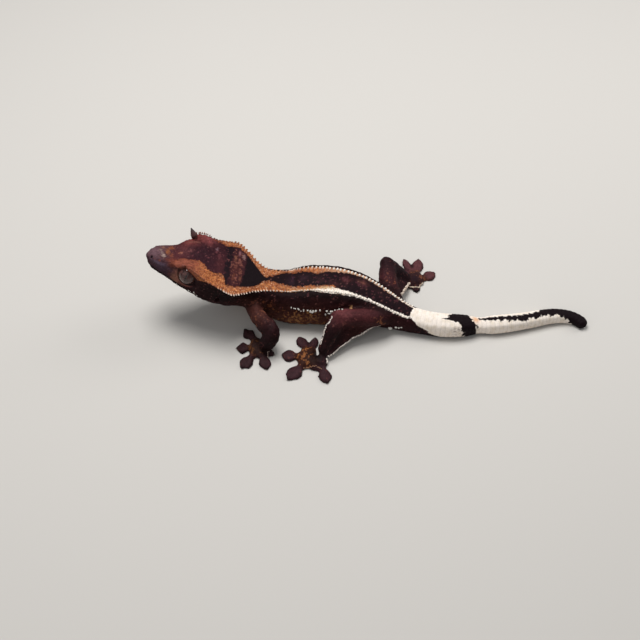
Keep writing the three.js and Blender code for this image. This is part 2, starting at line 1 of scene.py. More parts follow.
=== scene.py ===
# A crested gecko as a life-size museum model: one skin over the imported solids, with its own eyes, claws,
# crest scales and beads. Shapes are worked out in millimetres and written in metres.
# +X runs from head to tail, +Y to the animal's right side, +Z up, and the floor is at 0.

import bpy
import numpy as np
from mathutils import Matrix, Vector


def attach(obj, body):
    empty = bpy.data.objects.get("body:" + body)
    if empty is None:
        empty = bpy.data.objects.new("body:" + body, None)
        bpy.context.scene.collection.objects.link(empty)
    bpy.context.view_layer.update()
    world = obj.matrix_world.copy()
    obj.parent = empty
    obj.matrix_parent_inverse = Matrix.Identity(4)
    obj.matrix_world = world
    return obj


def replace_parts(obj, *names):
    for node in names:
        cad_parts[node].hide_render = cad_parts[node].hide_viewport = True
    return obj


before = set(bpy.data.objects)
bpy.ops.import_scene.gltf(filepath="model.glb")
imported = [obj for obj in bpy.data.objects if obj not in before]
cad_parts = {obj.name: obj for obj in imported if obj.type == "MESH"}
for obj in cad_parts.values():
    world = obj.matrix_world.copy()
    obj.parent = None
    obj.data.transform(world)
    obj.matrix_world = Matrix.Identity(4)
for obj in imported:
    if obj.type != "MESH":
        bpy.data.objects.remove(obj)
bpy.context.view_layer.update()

# Driving sizes, in millimetres

MM = 0.001
HEAD_LENGTH = 38.5
HEAD_PITCH = np.radians(20.0)
HEAD_YAW = np.radians(3.8)
NAPE = np.array([-17.0, -0.6, 10.1])
SNOUT_ROUNDING = 3.4
TAIL_ROUNDING = 1.7
BELLY_SINK = 0.25
LAST_TURN = 3.9999

EYE_RADIUS = 3.05
EYE_AT = (13.6, 5.3, 2.3)
EYE_LOOKS = (-0.25, 0.93, 0.28)
EYE_OPENING = np.radians(66.0)
NOSTRIL_AT = (1.8, 1.8, 1.4)
EAR_AT = (24.2, 9.5, -0.6)
MOUTH_LINE = [[-1, -0.75], [4, -1.0], [10, -1.7], [15.5, -2.5], [19.5, -2.1], [22, -1.3]]
MOUTH_CORNER = 21.5
LIP_SCALE_WIDTH = 1.25

SKIN_VOXEL = 0.43
HEAD_END = 33.0
HEAD_REACH = 14.0
HEAD_FLOOR = 4.8
KNEE_RADIUS = 2.45
THIN_EDGE_LOSS = 0.3
BALL_RINGS = 59
BALL_SIDES = 71
BULGE_REACH = 0.6
WHORL_LENGTH = 1.3
CREST_START = 17.9
CREST_END = 87.0
CREST_SPACING = 1.02
FINE_CREST_END = 56.0
FINE_CREST_SPACING = 0.84
BEADED_CREST_START = 56.6
TAIL_TEETH_LENGTH = 1.9
GRANULE_STEP = 0.52
GRANULES_END = 62.0
CLAW_RADIUS = 0.24
CLAW_SUNK = 0.55
CLAW_HEIGHT = 0.5
LOWEST_SCALE = 0.02
BESIDE_EYE = 1.0
# How much painted shade darkens the sunk skin inside each eye's opening
SOCKET_SHADE = 0.6
BAKE_PATCH_RADIUS = 0.0015

SKIN_GLOSS = 0.06
LIGHT_LEVEL = 0.5
FLOOR_HALF = 3000.0
FLOOR_GAP = 0.02
SENSOR_WIDTH = 36.0

# The trunk's axis behind the nape as [x, y]; its height is the depth of the belly below it.
AXIS_BEHIND_NAPE = np.array([
    [-9.2, -0.5], [-2.2, 0.0], [4.4, -0.2], [10.6, -1.0], [16.9, -2.8], [23.1, -5.3], [29.2, -7.7],
    [34.2, -9.0], [38.8, -9.9], [43.8, -10.1], [49.4, -9.5], [54.9, -9.3], [61.5, -8.4],
    [68.4, -6.9], [73.4, -5.6], [77.8, -5.1], [81.3, -5.6], [83.8, -7.1], [85.2, -9.2],
])

# Cross-sections by distance from the snout tip. The crest is the ridge along each side of the crown and
# the back. Each row holds: along, crest half-width, crest up, mid-line up, widest half-width, its height,
# belly half-width, belly down.
SECTIONS = np.array([
    [0.0, 1.9, 1.6, 2.2, 2.4, -0.3, 1.2, 1.8],
    [3.0, 2.7, 2.3, 2.9, 3.8, -0.5, 2.0, 2.6],
    [8.0, 3.8, 3.6, 3.5, 5.4, -1.0, 2.8, 3.3],
    [11.0, 5.7, 5.8, 4.1, 6.5, -1.5, 3.4, 3.8],
    [13.0, 7.5, 7.6, 4.7, 7.1, -1.7, 3.7, 4.0],
    [16.0, 8.9, 7.2, 5.2, 7.9, -1.8, 4.2, 4.4],
    [19.0, 9.2, 6.0, 5.5, 8.8, -1.8, 4.6, 4.8],
    [23.0, 9.95, 5.4, 5.7, 9.5, -1.4, 5.0, 5.3],
    [27.3, 11.0, 5.25, 5.7, 9.3, -0.9, 4.8, 5.6],
    [31.0, 8.8, 4.8, 5.4, 7.9, -0.4, 4.2, 5.7],
    [35.0, 5.6, 4.0, 4.8, 6.7, -0.2, 3.8, 6.0],
    [38.5, 4.3, 4.1, 4.7, 6.6, -0.3, 3.7, 6.5],
    [45.0, 4.7, 5.8, 6.2, 7.9, -0.4, 4.6, 6.9],
    [54.0, 4.9, 6.7, 7.2, 9.2, -0.6, 6.0, 7.1],
    [63.0, 4.7, 6.5, 7.0, 9.2, -0.6, 6.0, 7.0],
    [70.0, 4.1, 5.8, 6.2, 8.0, -0.5, 5.0, 6.4],
    [77.0, 3.3, 4.6, 5.0, 6.2, -0.3, 3.5, 5.3],
    [84.0, 2.6, 3.3, 3.8, 4.4, -0.2, 2.3, 4.2],
    [90.0, 2.2, 2.8, 3.4, 3.7, 0.0, 1.8, 3.6],
    [100.0, 2.1, 2.7, 3.3, 3.5, 0.0, 1.7, 3.4],
    [105.0, 1.9, 2.5, 3.0, 3.2, 0.0, 1.6, 3.1],
    [109.5, 1.4, 1.8, 2.3, 2.4, 0.0, 1.2, 2.4],
    [114.0, 1.7, 2.2, 2.7, 2.8, 0.0, 1.4, 2.7],
    [123.0, 1.6, 2.0, 2.5, 2.6, 0.0, 1.3, 2.5],
    [133.0, 1.4, 1.8, 2.2, 2.3, 0.0, 1.2, 2.2],
    [141.0, 1.2, 1.4, 1.7, 1.9, 0.0, 1.1, 1.8],
    [150.0, 1.0, 1.1, 1.4, 1.7, 0.0, 1.0, 1.4],
])

# Limbs as joints from root to wrist or ankle. Radii rows are [share of the length, across, through].
ARMS = {
    "left": [[-20.6, -3.5, 8.5], [-20.0, -8.6, 8.9], [-17.4, -13.2, 8.8],
             [-14.6, -16.3, 7.6], [-15.3, -17.6, 4.8], [-17.8, -17.8, 2.3]],
    "right": [[-18.6, 2.5, 8.0], [-18.6, 6.0, 6.4], [-18.4, 8.8, 4.8],
              [-20.4, 11.5, 3.7], [-23.4, 14.0, 3.0], [-26.6, 15.8, 2.0]],
}
THIGHS = {
    "left": [[24.0, -6.2, 5.0], [19.0, -9.4, 6.6], [13.4, -11.4, 8.6], [6.2, -12.7, 10.2]],
    "right": [[25.0, -5.5, 5.0], [23.6, -0.5, 6.2], [22.5, 5.2, 7.9], [22.4, 11.0, 9.1]],
}
SHANKS = {
    "left": [[6.2, -12.7, 10.2], [3.6, -17.2, 6.8], [0.9, -21.2, 2.4]],
    "right": [[22.4, 11.0, 9.1], [26.2, 10.6, 5.6], [30.2, 10.4, 2.3]],
}
ARM_RADII = [[0, 2.9, 2.9], [0.3, 2.5, 2.5], [0.58, 2.7, 3.0], [0.8, 2.6, 3.0], [1, 2.0, 2.2]]
THIGH_RADII = [[0, 3.4, 3.0], [0.4, 3.2, 2.8], [0.8, 2.8, 2.5], [1, 2.7, 2.4]]
SHANK_RADII = [[0, 2.4, 2.2], [0.3, 2.6, 2.3], [0.7, 1.9, 1.7], [1, 1.7, 1.4]]

# The free edge of the fold of skin behind each knee, from the root of the thigh to the heel.
FOLD_EDGES = {
    "left": [[19.6, -10.8, 4.0], [14.6, -13.6, 3.9], [9.0, -17.2, 3.2], [3.2, -22.0, 1.7]],
    "right": [[26.4, 0.4, 3.9], [27.9, 4.3, 3.2], [29.2, 7.2, 2.5], [29.9, 9.2, 1.8]],
}
FOLD_THICKNESS = 0.9

# Feet: palm and heel as [x, y, radius, height];
# digits, first to fifth, as [root x, y, tip x, y, pad half-width].
FEET = {
    "left_fore": {
        "palm": [-19.0, -17.3, 3.0, 2.2], "heel": [-16.9, -17.8, 2.2, 2.4],
        "digits": [[-19.1, -14.7, -23.4, -10.0, 1.65], [-20.2, -16.9, -25.5, -17.3, 1.9],
                   [-19.6, -19.0, -23.6, -25.0, 1.9], [-17.6, -19.2, -15.9, -25.4, 1.7],
                   [-17.2, -18.2, -13.9, -19.7, 1.1]],
    },
    "right_fore": {
        "palm": [-28.2, 16.3, 3.0, 2.2], "heel": [-26.6, 15.8, 2.2, 2.5],
        "digits": [[-28.4, 14.6, -30.4, 9.6, 1.6], [-29.6, 15.8, -35.6, 14.7, 1.85],
                   [-29.4, 17.4, -35.0, 21.9, 1.95], [-28.2, 18.0, -28.2, 24.6, 1.85],
                   [-26.8, 17.2, -22.2, 20.7, 1.6]],
    },
    "left_hind": {
        "palm": [-3.2, -21.4, 3.6, 2.3], "heel": [0.6, -23.0, 2.5, 2.8],
        "digits": [[-1.7, -18.4, -0.8, -13.3, 1.2], [-3.2, -18.2, -6.1, -13.1, 1.65],
                   [-5.2, -20.6, -11.1, -20.0, 2.15], [-4.2, -23.0, -9.2, -29.4, 2.15],
                   [1.0, -23.8, 2.9, -30.7, 1.95]],
    },
    "right_hind": {
        "palm": [32.6, 11.6, 3.0, 2.3], "heel": [30.6, 10.2, 2.2, 2.6],
        "digits": [[31.2, 12.6, 26.9, 16.4, 1.2], [31.2, 13.5, 29.0, 21.0, 1.1],
                   [32.8, 13.2, 33.9, 20.9, 1.8], [33.8, 11.6, 38.9, 14.7, 1.9],
                   [32.0, 10.2, 32.6, 6.6, 1.2]],
    },
}
WEB_REACH = 0.4
WEB_DIP = 0.3
CLAW_LENGTH = 1.15
# Along a digit: share of its length, half-width at the shaft, share of the pad's half-width, height
DIGIT_FORM = [
    [0.0, 0.8, 0, 1.5], [0.15, 0.7, 0.0, 1.4], [0.3, 0.3, 0.3, 1.3], [0.46, 0, 0.84, 1.15],
    [0.63, 0, 1.0, 1.1], [0.79, 0, 0.8, 1.05], [0.91, 0, 0.42, 1.0], [0.97, 0, 0.22, 0.95],
    [1.0, 0, 0.14, 0.9],
]

# Camera: the photograph looks down on the animal's left side
CAMERA_TARGET = np.array([0.63, -5.32, 0.0])
CAMERA_ELEVATION = np.radians(50.0)
CAMERA_FIELD = np.radians(34.0)
CAMERA_DISTANCE = 337.6


# Curves and body measures

def smooth_rows(rows, at):
    """Cubic pieces through rows of [at, values]. The slope at a row is that of the line between its two
    neighbours."""
    rows = np.asarray(rows, float)
    at = np.atleast_1d(np.asarray(at, float))
    last = len(rows) - 1
    i = np.clip(np.searchsorted(rows[:, 0], at) - 1, 0, last - 1)
    a, b = rows[i], rows[i + 1]
    before, after = rows[np.maximum(i - 1, 0)], rows[np.minimum(i + 2, last)]
    span = b[:, :1] - a[:, :1]
    t = np.clip((at[:, None] - a[:, :1]) / span, 0, 1)
    slope_a = (b - before) / (b[:, :1] - before[:, :1]) * span
    slope_b = (after - a) / (after[:, :1] - a[:, :1]) * span
    value = (
        (2 * t**3 - 3 * t**2 + 1) * a + (t**3 - 2 * t**2 + t) * slope_a
        + (3 * t**2 - 2 * t**3) * b + (t**3 - t**2) * slope_b
    )
    return value[:, 1:]


def one_row(rows, at):
    """The single value of [at, value] rows at each place."""
    return smooth_rows(rows, at)[:, 0]


def straight_rows(rows, at):
    """Straight lines between [at, value] rows."""
    rows = np.asarray(rows, float)
    return np.interp(at, rows[:, 0], rows[:, 1])


def ramp(low, high, value):
    """0 below low, 1 above high, smooth between."""
    t = np.clip((value - low) / (high - low), 0, 1)
    return t * t * (3 - 2 * t)


def hump(value, middle, width):
    """A bell round the middle, with the width at which it has fallen to a third."""
    return np.exp(-(((value - middle) / width) ** 2))


def unit(vectors):
    return vectors / np.maximum(np.linalg.norm(vectors, axis=-1, keepdims=True), 1e-9)


def section_at(along):
    """The seven measures of the cross-section at each distance from the snout tip."""
    return smooth_rows(SECTIONS, along).T


HEAD_FORWARD = np.array([
    -np.cos(HEAD_PITCH) * np.cos(HEAD_YAW), np.cos(HEAD_PITCH) * np.sin(HEAD_YAW), np.sin(HEAD_PITCH),
])


def axis_rows():
    """The axis as [distance from the snout tip, x, y, z]: straight in the head, then at the belly's depth
    above it."""
    head = NAPE + HEAD_FORWARD * np.linspace(HEAD_LENGTH, 0, 5)[:, None]
    points = np.vstack([head, np.column_stack([AXIS_BEHIND_NAPE, np.full(len(AXIS_BEHIND_NAPE), NAPE[2])])])
    for _ in range(3):
        along = np.concatenate([[0], np.cumsum(np.linalg.norm(np.diff(points, axis=0), axis=1))])
        rows = np.column_stack([along, points])
        points[5:, 2] = section_at(along[5:])[6] - BELLY_SINK
    return rows


AXIS = axis_rows()
TAIL_TIP = AXIS[-1, 0]


def frame_at(along):
    """Place on the axis and the directions back (tailward), side (the animal's right) and up."""
    along = np.atleast_1d(along)
    at = smooth_rows(AXIS, np.clip(along, 0, TAIL_TIP))
    ahead = smooth_rows(AXIS, np.clip(along + 0.5, 0, TAIL_TIP))
    behind = smooth_rows(AXIS, np.clip(along - 0.5, 0, TAIL_TIP))
    back = unit(ahead - behind)
    side = unit(np.cross([0, 0, 1.0], back))
    return at, back, side, np.cross(back, side)


def on_body(along, side, up):
    """The point at so much to the side and up from the axis."""
    at, _, side_way, up_way = frame_at(along)
    return at + side_way * np.reshape(side, (-1, 1)) + up_way * np.reshape(up, (-1, 1))


def end_rounding(along):
    """The height of a circle near its edge, at the snout and at the tail tip."""
    snout = np.sqrt(np.clip(1 - (1 - np.clip(along / SNOUT_ROUNDING, 0, 1)) ** 2, 0, 1))
    tail = np.sqrt(np.clip(1 - (1 - np.clip((TAIL_TIP - along) / TAIL_ROUNDING, 0, 1)) ** 2, 0, 1))
    return snout * tail


def section_curve(measures, turn):
    """Side and up of the skin by turn: 0 to 1 a low arch from the mid-line of the back to the crest, 1 to
    2 a quarter of an ellipse to the widest point, 2 to 3 another to the belly's edge, 3 to 4 the flat
    belly."""
    crest, crest_up, back_up, wide, wide_up, belly, belly_down = measures
    leg = np.floor(turn)
    part = turn - leg
    sine, cosine = np.sin(part * np.pi / 2), np.cos(part * np.pi / 2)
    side = np.select(
        [leg == 0, leg == 1, leg == 2],
        [crest * part, crest + (wide - crest) * sine, belly + (wide - belly) * cosine],
        belly * (1 - part),
    )
    up = np.select(
        [leg == 0, leg == 1, leg == 2],
        [back_up + (crest_up - back_up) * part**2, wide_up + (crest_up - wide_up) * cosine,
         wide_up - (wide_up + belly_down) * sine],
        -belly_down,
    )
    return side, up


def half_section(along, turn):
    """Side and up of the skin, with the snout and the tail tip rounded off."""
    side, up = section_curve(section_at(along), np.clip(turn, 0, LAST_TURN))
    rounding = end_rounding(along)
    return side * rounding, up * rounding


def skin_point(along, turn):
    """The skin at a distance from the snout tip and a turn, whose sign is the side: positive is the
    right."""
    along, turn = np.broadcast_arrays(np.asarray(along, float), np.asarray(turn, float))
    side, up = half_section(along.ravel(), np.abs(turn.ravel()))
    return on_body(along.ravel(), side * np.sign(turn.ravel()), up)


def body_coordinates(points):
    """Each point as distance from the snout tip, side and up: the nearest of 400 places on the axis, then
    three steps along the axis by the part of the offset that lies along it."""
    places = np.linspace(0, TAIL_TIP, 400)
    at = frame_at(places)[0]
    along = np.concatenate([
        places[np.argmin(np.linalg.norm(part[:, None] - at[None], axis=2), axis=1)]
        for part in np.array_split(points, max(len(points) // 4000, 1))
    ])
    for _ in range(3):
        at, back, side, up = frame_at(along)
        along = np.clip(along + np.einsum("ij,ij->i", points - at, back), 0, TAIL_TIP)
    at, back, side, up = frame_at(along)
    off = points - at
    return along, np.einsum("ij,ij->i", off, side), np.einsum("ij,ij->i", off, up)


def turn_of(along, side, up):
    """The turn of the section's point nearest to each place, signed by its side: the nearest of 41 turns,
    then of ever closer ones round the last."""
    measures = section_at(along)
    middle = np.full(len(along), 2.0)
    for span, count in ((2.0, 41), (0.1, 11), (0.02, 9)):
        gap, found = np.full(len(along), np.inf), middle
        for shift in np.linspace(-span, span, count):
            turn = np.clip(middle + shift, 0, LAST_TURN)
            curve_side, curve_up = section_curve(measures, turn)
            off = np.hypot(curve_side - np.abs(side), curve_up - up)
            found = np.where(off < gap, turn, found)
            gap = np.minimum(gap, off)
        middle = found
    return middle * np.where(side < 0, -1, 1)


def mm_per_turn(along, turn):
    """How far one unit of turn goes over the skin, in millimetres."""
    crest, crest_up, _, wide, wide_up, belly, belly_down = section_at(along)
    upper = 1.1 * np.hypot(wide - crest, crest_up - wide_up)
    lower = 1.1 * np.hypot(wide - belly, wide_up + belly_down)
    return np.select([np.abs(turn) < 1, np.abs(turn) < 2, np.abs(turn) < 3], [crest, upper, lower], belly)


def curve_through(joints, shares):
    """Points and directions at shares of the length of a centripetal curve through the joints."""
    joints = np.asarray(joints, float)
    ends = np.vstack([2 * joints[0] - joints[1], joints, 2 * joints[-1] - joints[-2]])
    steps = np.linalg.norm(np.diff(ends, axis=0), axis=1) ** 0.5
    t = np.linspace(0, 1, 40)[:, None]
    pieces = []
    for i in range(1, len(ends) - 2):
        x0, x1, x2, x3 = ends[i - 1:i + 3]
        d0, d1, d2 = steps[i - 1:i + 2]
        slope_1 = ((x1 - x0) / d0 - (x2 - x0) / (d0 + d1) + (x2 - x1) / d1) * d1
        slope_2 = ((x2 - x1) / d1 - (x3 - x1) / (d1 + d2) + (x3 - x2) / d2) * d1
        pieces.append(
            (2 * t**3 - 3 * t**2 + 1) * x1 + (t**3 - 2 * t**2 + t) * slope_1
            + (3 * t**2 - 2 * t**3) * x2 + (t**3 - t**2) * slope_2
        )
    dense = np.vstack([p[:-1] for p in pieces] + [joints[-1:]])
    reach = np.concatenate([[0], np.cumsum(np.linalg.norm(np.diff(dense, axis=0), axis=1))])
    wanted = np.asarray(shares) * reach[-1]
    step = reach[-1] * 0.01
    at, ahead, behind = (
        np.column_stack([np.interp(wanted + shift, reach, dense[:, k]) for k in range(3)])
        for shift in (0, step, -step)
    )
    return at, unit(ahead - behind), reach[-1]


# Closed skins to be joined, each as (points, triangles)

def closed_rings(rings):
    """Rings of like counts as one closed skin: two triangles for each square between rings and a fan
    round the mean point at each end, all turned outwards."""
    count, size = rings.shape[:2]
    points = np.vstack([rings.reshape(-1, 3), rings[0].mean(0)[None], rings[-1].mean(0)[None]])
    i, j = np.meshgrid(np.arange(count - 1), np.arange(size), indexing="ij")
    low, low_next = i * size + j, i * size + (j + 1) % size
    k = np.arange(size)
    top = (count - 1) * size
    faces = np.vstack([
        np.stack([low, low_next, low_next + size], axis=-1).reshape(-1, 3),
        np.stack([low, low_next + size, low + size], axis=-1).reshape(-1, 3),
        np.stack([np.full(size, count * size), (k + 1) % size, k], axis=1),
        np.stack([np.full(size, count * size + 1), top + k, top + (k + 1) % size], axis=1),
    ])
    corner = points[faces] - points.mean(0)
    volume = np.einsum("ij,ij->i", corner[:, 0], np.cross(corner[:, 1], corner[:, 2])).sum()
    return points, faces if volume > 0 else faces[:, ::-1]


def trunk_skin():
    """Head, trunk and tail: the section carried along the axis."""
    along = np.concatenate([[0.03, 0.15, 0.4, 0.8], np.arange(1.3, TAIL_TIP - 1.8, 0.45),
                            TAIL_TIP - np.array([1.5, 0.9, 0.5, 0.2, 0.03])])
    turn = np.concatenate([np.linspace(0, 4, 41)[:-1], -np.linspace(4, 0, 41)[:-1]])
    rings = skin_point(along[:, None], turn[None, :]).reshape(len(along), len(turn), 3)
    rings[..., 2] = np.maximum(rings[..., 2], 0)
    return closed_rings(rings)


def limb_skin(joints, radii):
    """An ellipse carried along the curve through the joints, its ends rounded off like a ball."""
    shares = np.concatenate([[0.01, 0.03, 0.06], np.linspace(0.1, 0.9, 30), [0.94, 0.97, 0.99]])
    at, way, length = curve_through(joints, shares)
    across = unit(np.cross([0, 0, 1.0], way))
    through = np.cross(way, across)
    wide, thick = smooth_rows(radii, shares).T
    to_end = np.minimum(shares, 1 - shares) * length
    dome = np.sqrt(1 - (1 - np.clip(to_end / wide, 0, 1)) ** 2)
    a = np.linspace(0, 2 * np.pi, 21)[:-1]
    rings = (
        at[:, None] + across[:, None] * (np.cos(a)[None, :, None] * (wide * dome)[:, None, None])
        + through[:, None] * (np.sin(a)[None, :, None] * (thick * dome)[:, None, None])
    )
    return closed_rings(rings)


def ball_skin(centre, radius, axes=np.eye(3), bulge=0.0):
    """A ball as rings of latitude about the first axis, whose front may stand out by the share in
    bulge."""
    angle = np.linspace(0.01, np.pi - 0.01, BALL_RINGS)
    a = np.linspace(0, 2 * np.pi, BALL_SIDES + 1)[:-1]
    ring = axes[1][None] * np.cos(a)[:, None] + axes[2][None] * np.sin(a)[:, None]
    out = axes[0][None, None] * np.cos(angle)[:, None, None] + ring[None] * np.sin(angle)[:, None, None]
    reach = radius * (1 + bulge * np.exp(-((angle / BULGE_REACH) ** 2)))
    return closed_rings(np.asarray(centre, float) + out * reach[:, None, None])


def fold_skin(side):
    """The skin behind the knee: a slab ruled between the leg's own line and the free edge, thinner at
    that edge."""
    leg = np.vstack([np.asarray(THIGHS[side])[1:], np.asarray(SHANKS[side])[1:]])
    shares = np.linspace(0.02, 0.98, 36)
    inner = curve_through(leg, shares)[0]
    outer = curve_through(FOLD_EDGES[side], shares)[0]
    v = np.linspace(0, 1, 16)[None, :, None]
    sheet = inner[:, None] * (1 - v) + outer[:, None] * v
    normal = unit(np.cross(np.gradient(sheet, axis=0), np.gradient(sheet, axis=1)))
    half = 0.5 * FOLD_THICKNESS * np.sqrt(np.clip(1 - np.linspace(0, 0.98, 16) ** 6, 0, 1))[None, :, None]
    return closed_rings(np.concatenate([sheet + normal * half, (sheet - normal * half)[:, ::-1]], axis=1))


def web_outline(form):
    """The palm's outline: out along each digit, and in again between two digits, the more the wider they
    spread."""
    x, y, radius, _ = form["palm"]
    digits = np.array(form["digits"])
    at = digits[:, :2] + WEB_REACH * (digits[:, 2:4] - digits[:, :2]) - [x, y]
    angle = np.arctan2(at[:, 1], at[:, 0])
    order = np.argsort(angle)
    angle, reach = angle[order], np.linalg.norm(at, axis=1)[order]
    turn = np.mod(np.roll(angle, -1) - angle, 2 * np.pi)[:, None]
    share = np.linspace(0, 1, 13)[:-1]
    dip = np.sin(share * np.pi)
    straight = reach[:, None] * (1 - share) + np.roll(reach, -1)[:, None] * share
    dipped = np.maximum(straight * (1 - WEB_DIP * turn * dip), radius * 0.8)
    bare = straight * (1 - dip) + radius * dip
    out = np.where(turn < np.pi * 0.75, dipped, bare) + THIN_EDGE_LOSS
    a = angle[:, None] + turn * share
    return np.stack([x + out * np.cos(a), y + out * np.sin(a)], axis=-1).reshape(-1, 2)


def dome_skin(centre, height, outline):
    """A low dome over an outline on the floor: it draws in as an ellipse does, towards its centre."""
    share = np.linspace(0, 1, 9)
    drawn = np.maximum(np.sqrt(1 - (share * 0.98) ** 2), 0.2)
    rings = np.zeros((len(share), len(outline), 3))
    rings[..., :2] = centre + (outline - centre)[None] * drawn[:, None, None]
    rings[..., 2] = (share * height)[:, None]
    return closed_rings(rings)


def digit_skin(digit):
    """A digit flat on the floor: half an ellipse in section, narrow at its root and broad at its
    leaf-shaped pad."""
    root, tip, pad = np.array([*digit[:2], 0.0]), np.array([*digit[2:4], 0.0]), digit[4]
    tip = tip + unit(tip - root) * THIN_EDGE_LOSS
    shares = np.linspace(0, 1, 30)
    shaft, leaf, high = smooth_rows(DIGIT_FORM, shares).T
    half = np.maximum(shaft, 0) + np.maximum(leaf, 0) * pad + THIN_EDGE_LOSS * ramp(1.0, 0.9, shares)
    way = unit(tip - root)
    across = np.cross([0, 0, 1.0], way)
    a = np.linspace(0, np.pi, 15)
    middle = root + (tip - root) * shares[:, None]
    rings = middle[:, None] + across * (half[:, None, None] * np.cos(a)[None, :, None])
    rings[..., 2] = high[:, None] * np.sin(a)[None, :] ** 0.7
    return closed_rings(rings)


def foot_skins(form):
    """Palm, heel and digits of one foot."""
    x, y, radius, height = form["heel"]
    a = np.linspace(0, 2 * np.pi, 33)[:-1]
    round_heel = np.stack([x + radius * np.cos(a), y + radius * np.sin(a)], axis=1)
    palm = form["palm"]
    return [
        dome_skin(np.array(palm[:2]), palm[3], web_outline(form)),
        dome_skin(np.array([x, y]), height, round_heel),
        *[digit_skin(d) for d in form["digits"]],
    ]


# Meshes

def mesh_of(name, points, faces, scale=MM):
    """A mesh from points in millimetres and triangles, in metres unless another scale is given."""
    mesh = bpy.data.meshes.new(name)
    mesh.vertices.add(len(points))
    mesh.vertices.foreach_set("co", (points * scale).astype(np.float32).ravel())
    mesh.loops.add(faces.size)
    mesh.loops.foreach_set("vertex_index", faces.astype(np.int32).ravel())
    mesh.polygons.add(len(faces))
    mesh.polygons.foreach_set("loop_start", np.arange(0, faces.size, faces.shape[1], dtype=np.int32))
    mesh.update(calc_edges=True)
    mesh.validate()
    return mesh


def joined_skin(parts):
    """All parts as one closed skin: they are joined and meshed anew on a grid of small cubes."""
    starts = np.cumsum([0] + [len(points) for points, _ in parts])
    faces = np.vstack([part_faces + start for (_, part_faces), start in zip(parts, starts)])
    mesh = mesh_of("joined", np.vstack([points for points, _ in parts]), faces, scale=1.0)
    holder = bpy.data.objects.new("joined", mesh)
    bpy.context.scene.collection.objects.link(holder)
    remesh = holder.modifiers.new("remesh", "REMESH")
    remesh.mode = "VOXEL"
    remesh.voxel_size = SKIN_VOXEL
    graph = bpy.context.evaluated_depsgraph_get()
    made = bpy.data.meshes.new_from_object(holder.evaluated_get(graph))
    points = np.empty(len(made.vertices) * 3)
    made.vertices.foreach_get("co", points)
    made.calc_loop_triangles()
    corners = np.empty(len(made.loop_triangles) * 3, dtype=np.int32)
    made.loop_triangles.foreach_get("vertices", corners)
    bpy.data.objects.remove(holder)
    bpy.data.meshes.remove(mesh)
    bpy.data.meshes.remove(made)
    return points.reshape(-1, 3), corners.reshape(-1, 3).astype(np.int64)


def with_finer_head(points, faces):
    """Every edge with both ends in the head is halved. A triangle with three such edges becomes four, and
    one with a single such edge becomes two."""
    along, side, up = body_coordinates(points)
    inside = (along < HEAD_END) & (np.hypot(side, up) < HEAD_REACH) & (points[:, 2] > HEAD_FLOOR)
    pair = np.sort(np.stack([faces, np.roll(faces, -1, axis=1)], axis=-1), axis=-1)
    halved = inside[pair].all(-1)
    key, place = np.unique((pair[..., 0] * len(points) + pair[..., 1])[halved], return_inverse=True)
    middle = np.zeros(faces.shape, dtype=np.int64)
    middle[halved] = len(points) + place.ravel()
    four, two = halved.all(1), halved.sum(1) == 1
    a, b, c = faces[four].T
    ab, bc, ca = middle[four].T
    first = np.argmax(halved[two], axis=1)[:, None]
    order = (first + np.arange(3)) % 3
    d, e, f = np.take_along_axis(faces[two], order, axis=1).T
    de = np.take_along_axis(middle[two], first, axis=1)[:, 0]
    pieces = [(a, ab, ca), (ab, b, bc), (ca, bc, c), (ab, bc, ca), (d, de, f), (de, e, f)]
    faces = np.vstack([faces[~four & ~two]] + [np.stack(piece, axis=1) for piece in pieces])
    return np.vstack([points, (points[key // len(points)] + points[key % len(points)]) / 2]), faces


def neighbours(faces, count):
    """Both ends of each edge, each way round, and how many neighbours each point has."""
    start, end = faces.ravel(), np.roll(faces, -1, axis=1).ravel()
    key = np.unique(np.concatenate([start * count + end, end * count + start]))
    ends = np.stack([key // count, key % count], axis=1)
    return ends, np.bincount(ends[:, 0], minlength=count)


def evened(points, faces, rounds, weight, strengths):
    """In each round every point moves towards its neighbours' mean by its weight times each strength in
    turn. A second, negative strength gives back what the first takes off the whole form, so only bumps
    go."""
    ends, degree = neighbours(faces, len(points))
    weight = np.broadcast_to(weight, (len(points),))[:, None]
    for _ in range(rounds):
        for strength in strengths:
            total = np.column_stack([
                np.bincount(ends[:, 0], weights=points[ends[:, 1], k], minlength=len(points))
                for k in range(3)
            ])
            points = points + weight * strength * (total / np.maximum(degree, 1)[:, None] - points)
    return points


def normals_of(points, faces):
    """The outward direction at each point: the sum of the normals of its triangles."""
    corner = points[faces]
    face = np.cross(corner[:, 1] - corner[:, 0], corner[:, 2] - corner[:, 0])
    total = np.column_stack([
        sum(np.bincount(faces[:, k], weights=face[:, axis], minlength=len(points)) for k in range(3))
        for axis in range(3)
    ])
    return unit(total)


def ripple(points, size, seed):
    """Smooth noise of about -1 to 1: sixteen plane waves of about the given length in seeded
    directions."""
    draw = np.random.default_rng(seed)
    ways = unit(draw.normal(size=(16, 3))) * (2 * np.pi / size) * draw.uniform(0.7, 1.4, (16, 1))
    return np.sin(points @ ways.T + draw.uniform(0, 2 * np.pi, 16)).sum(1) / 4.0


def distance_to_line(points, line):
    """Distance of each point from a line of short straight pieces."""
    line = np.asarray(line, float)
    best = np.full(len(points), np.inf)
    for a, b in zip(line[:-1], line[1:]):
        share = np.clip((points - a) @ (b - a) / max((b - a) @ (b - a), 1e-9), 0, 1)
        best = np.minimum(best, np.linalg.norm(points - (a + share[:, None] * (b - a)), axis=1))
    return best


# Fine forms of the head and trunk

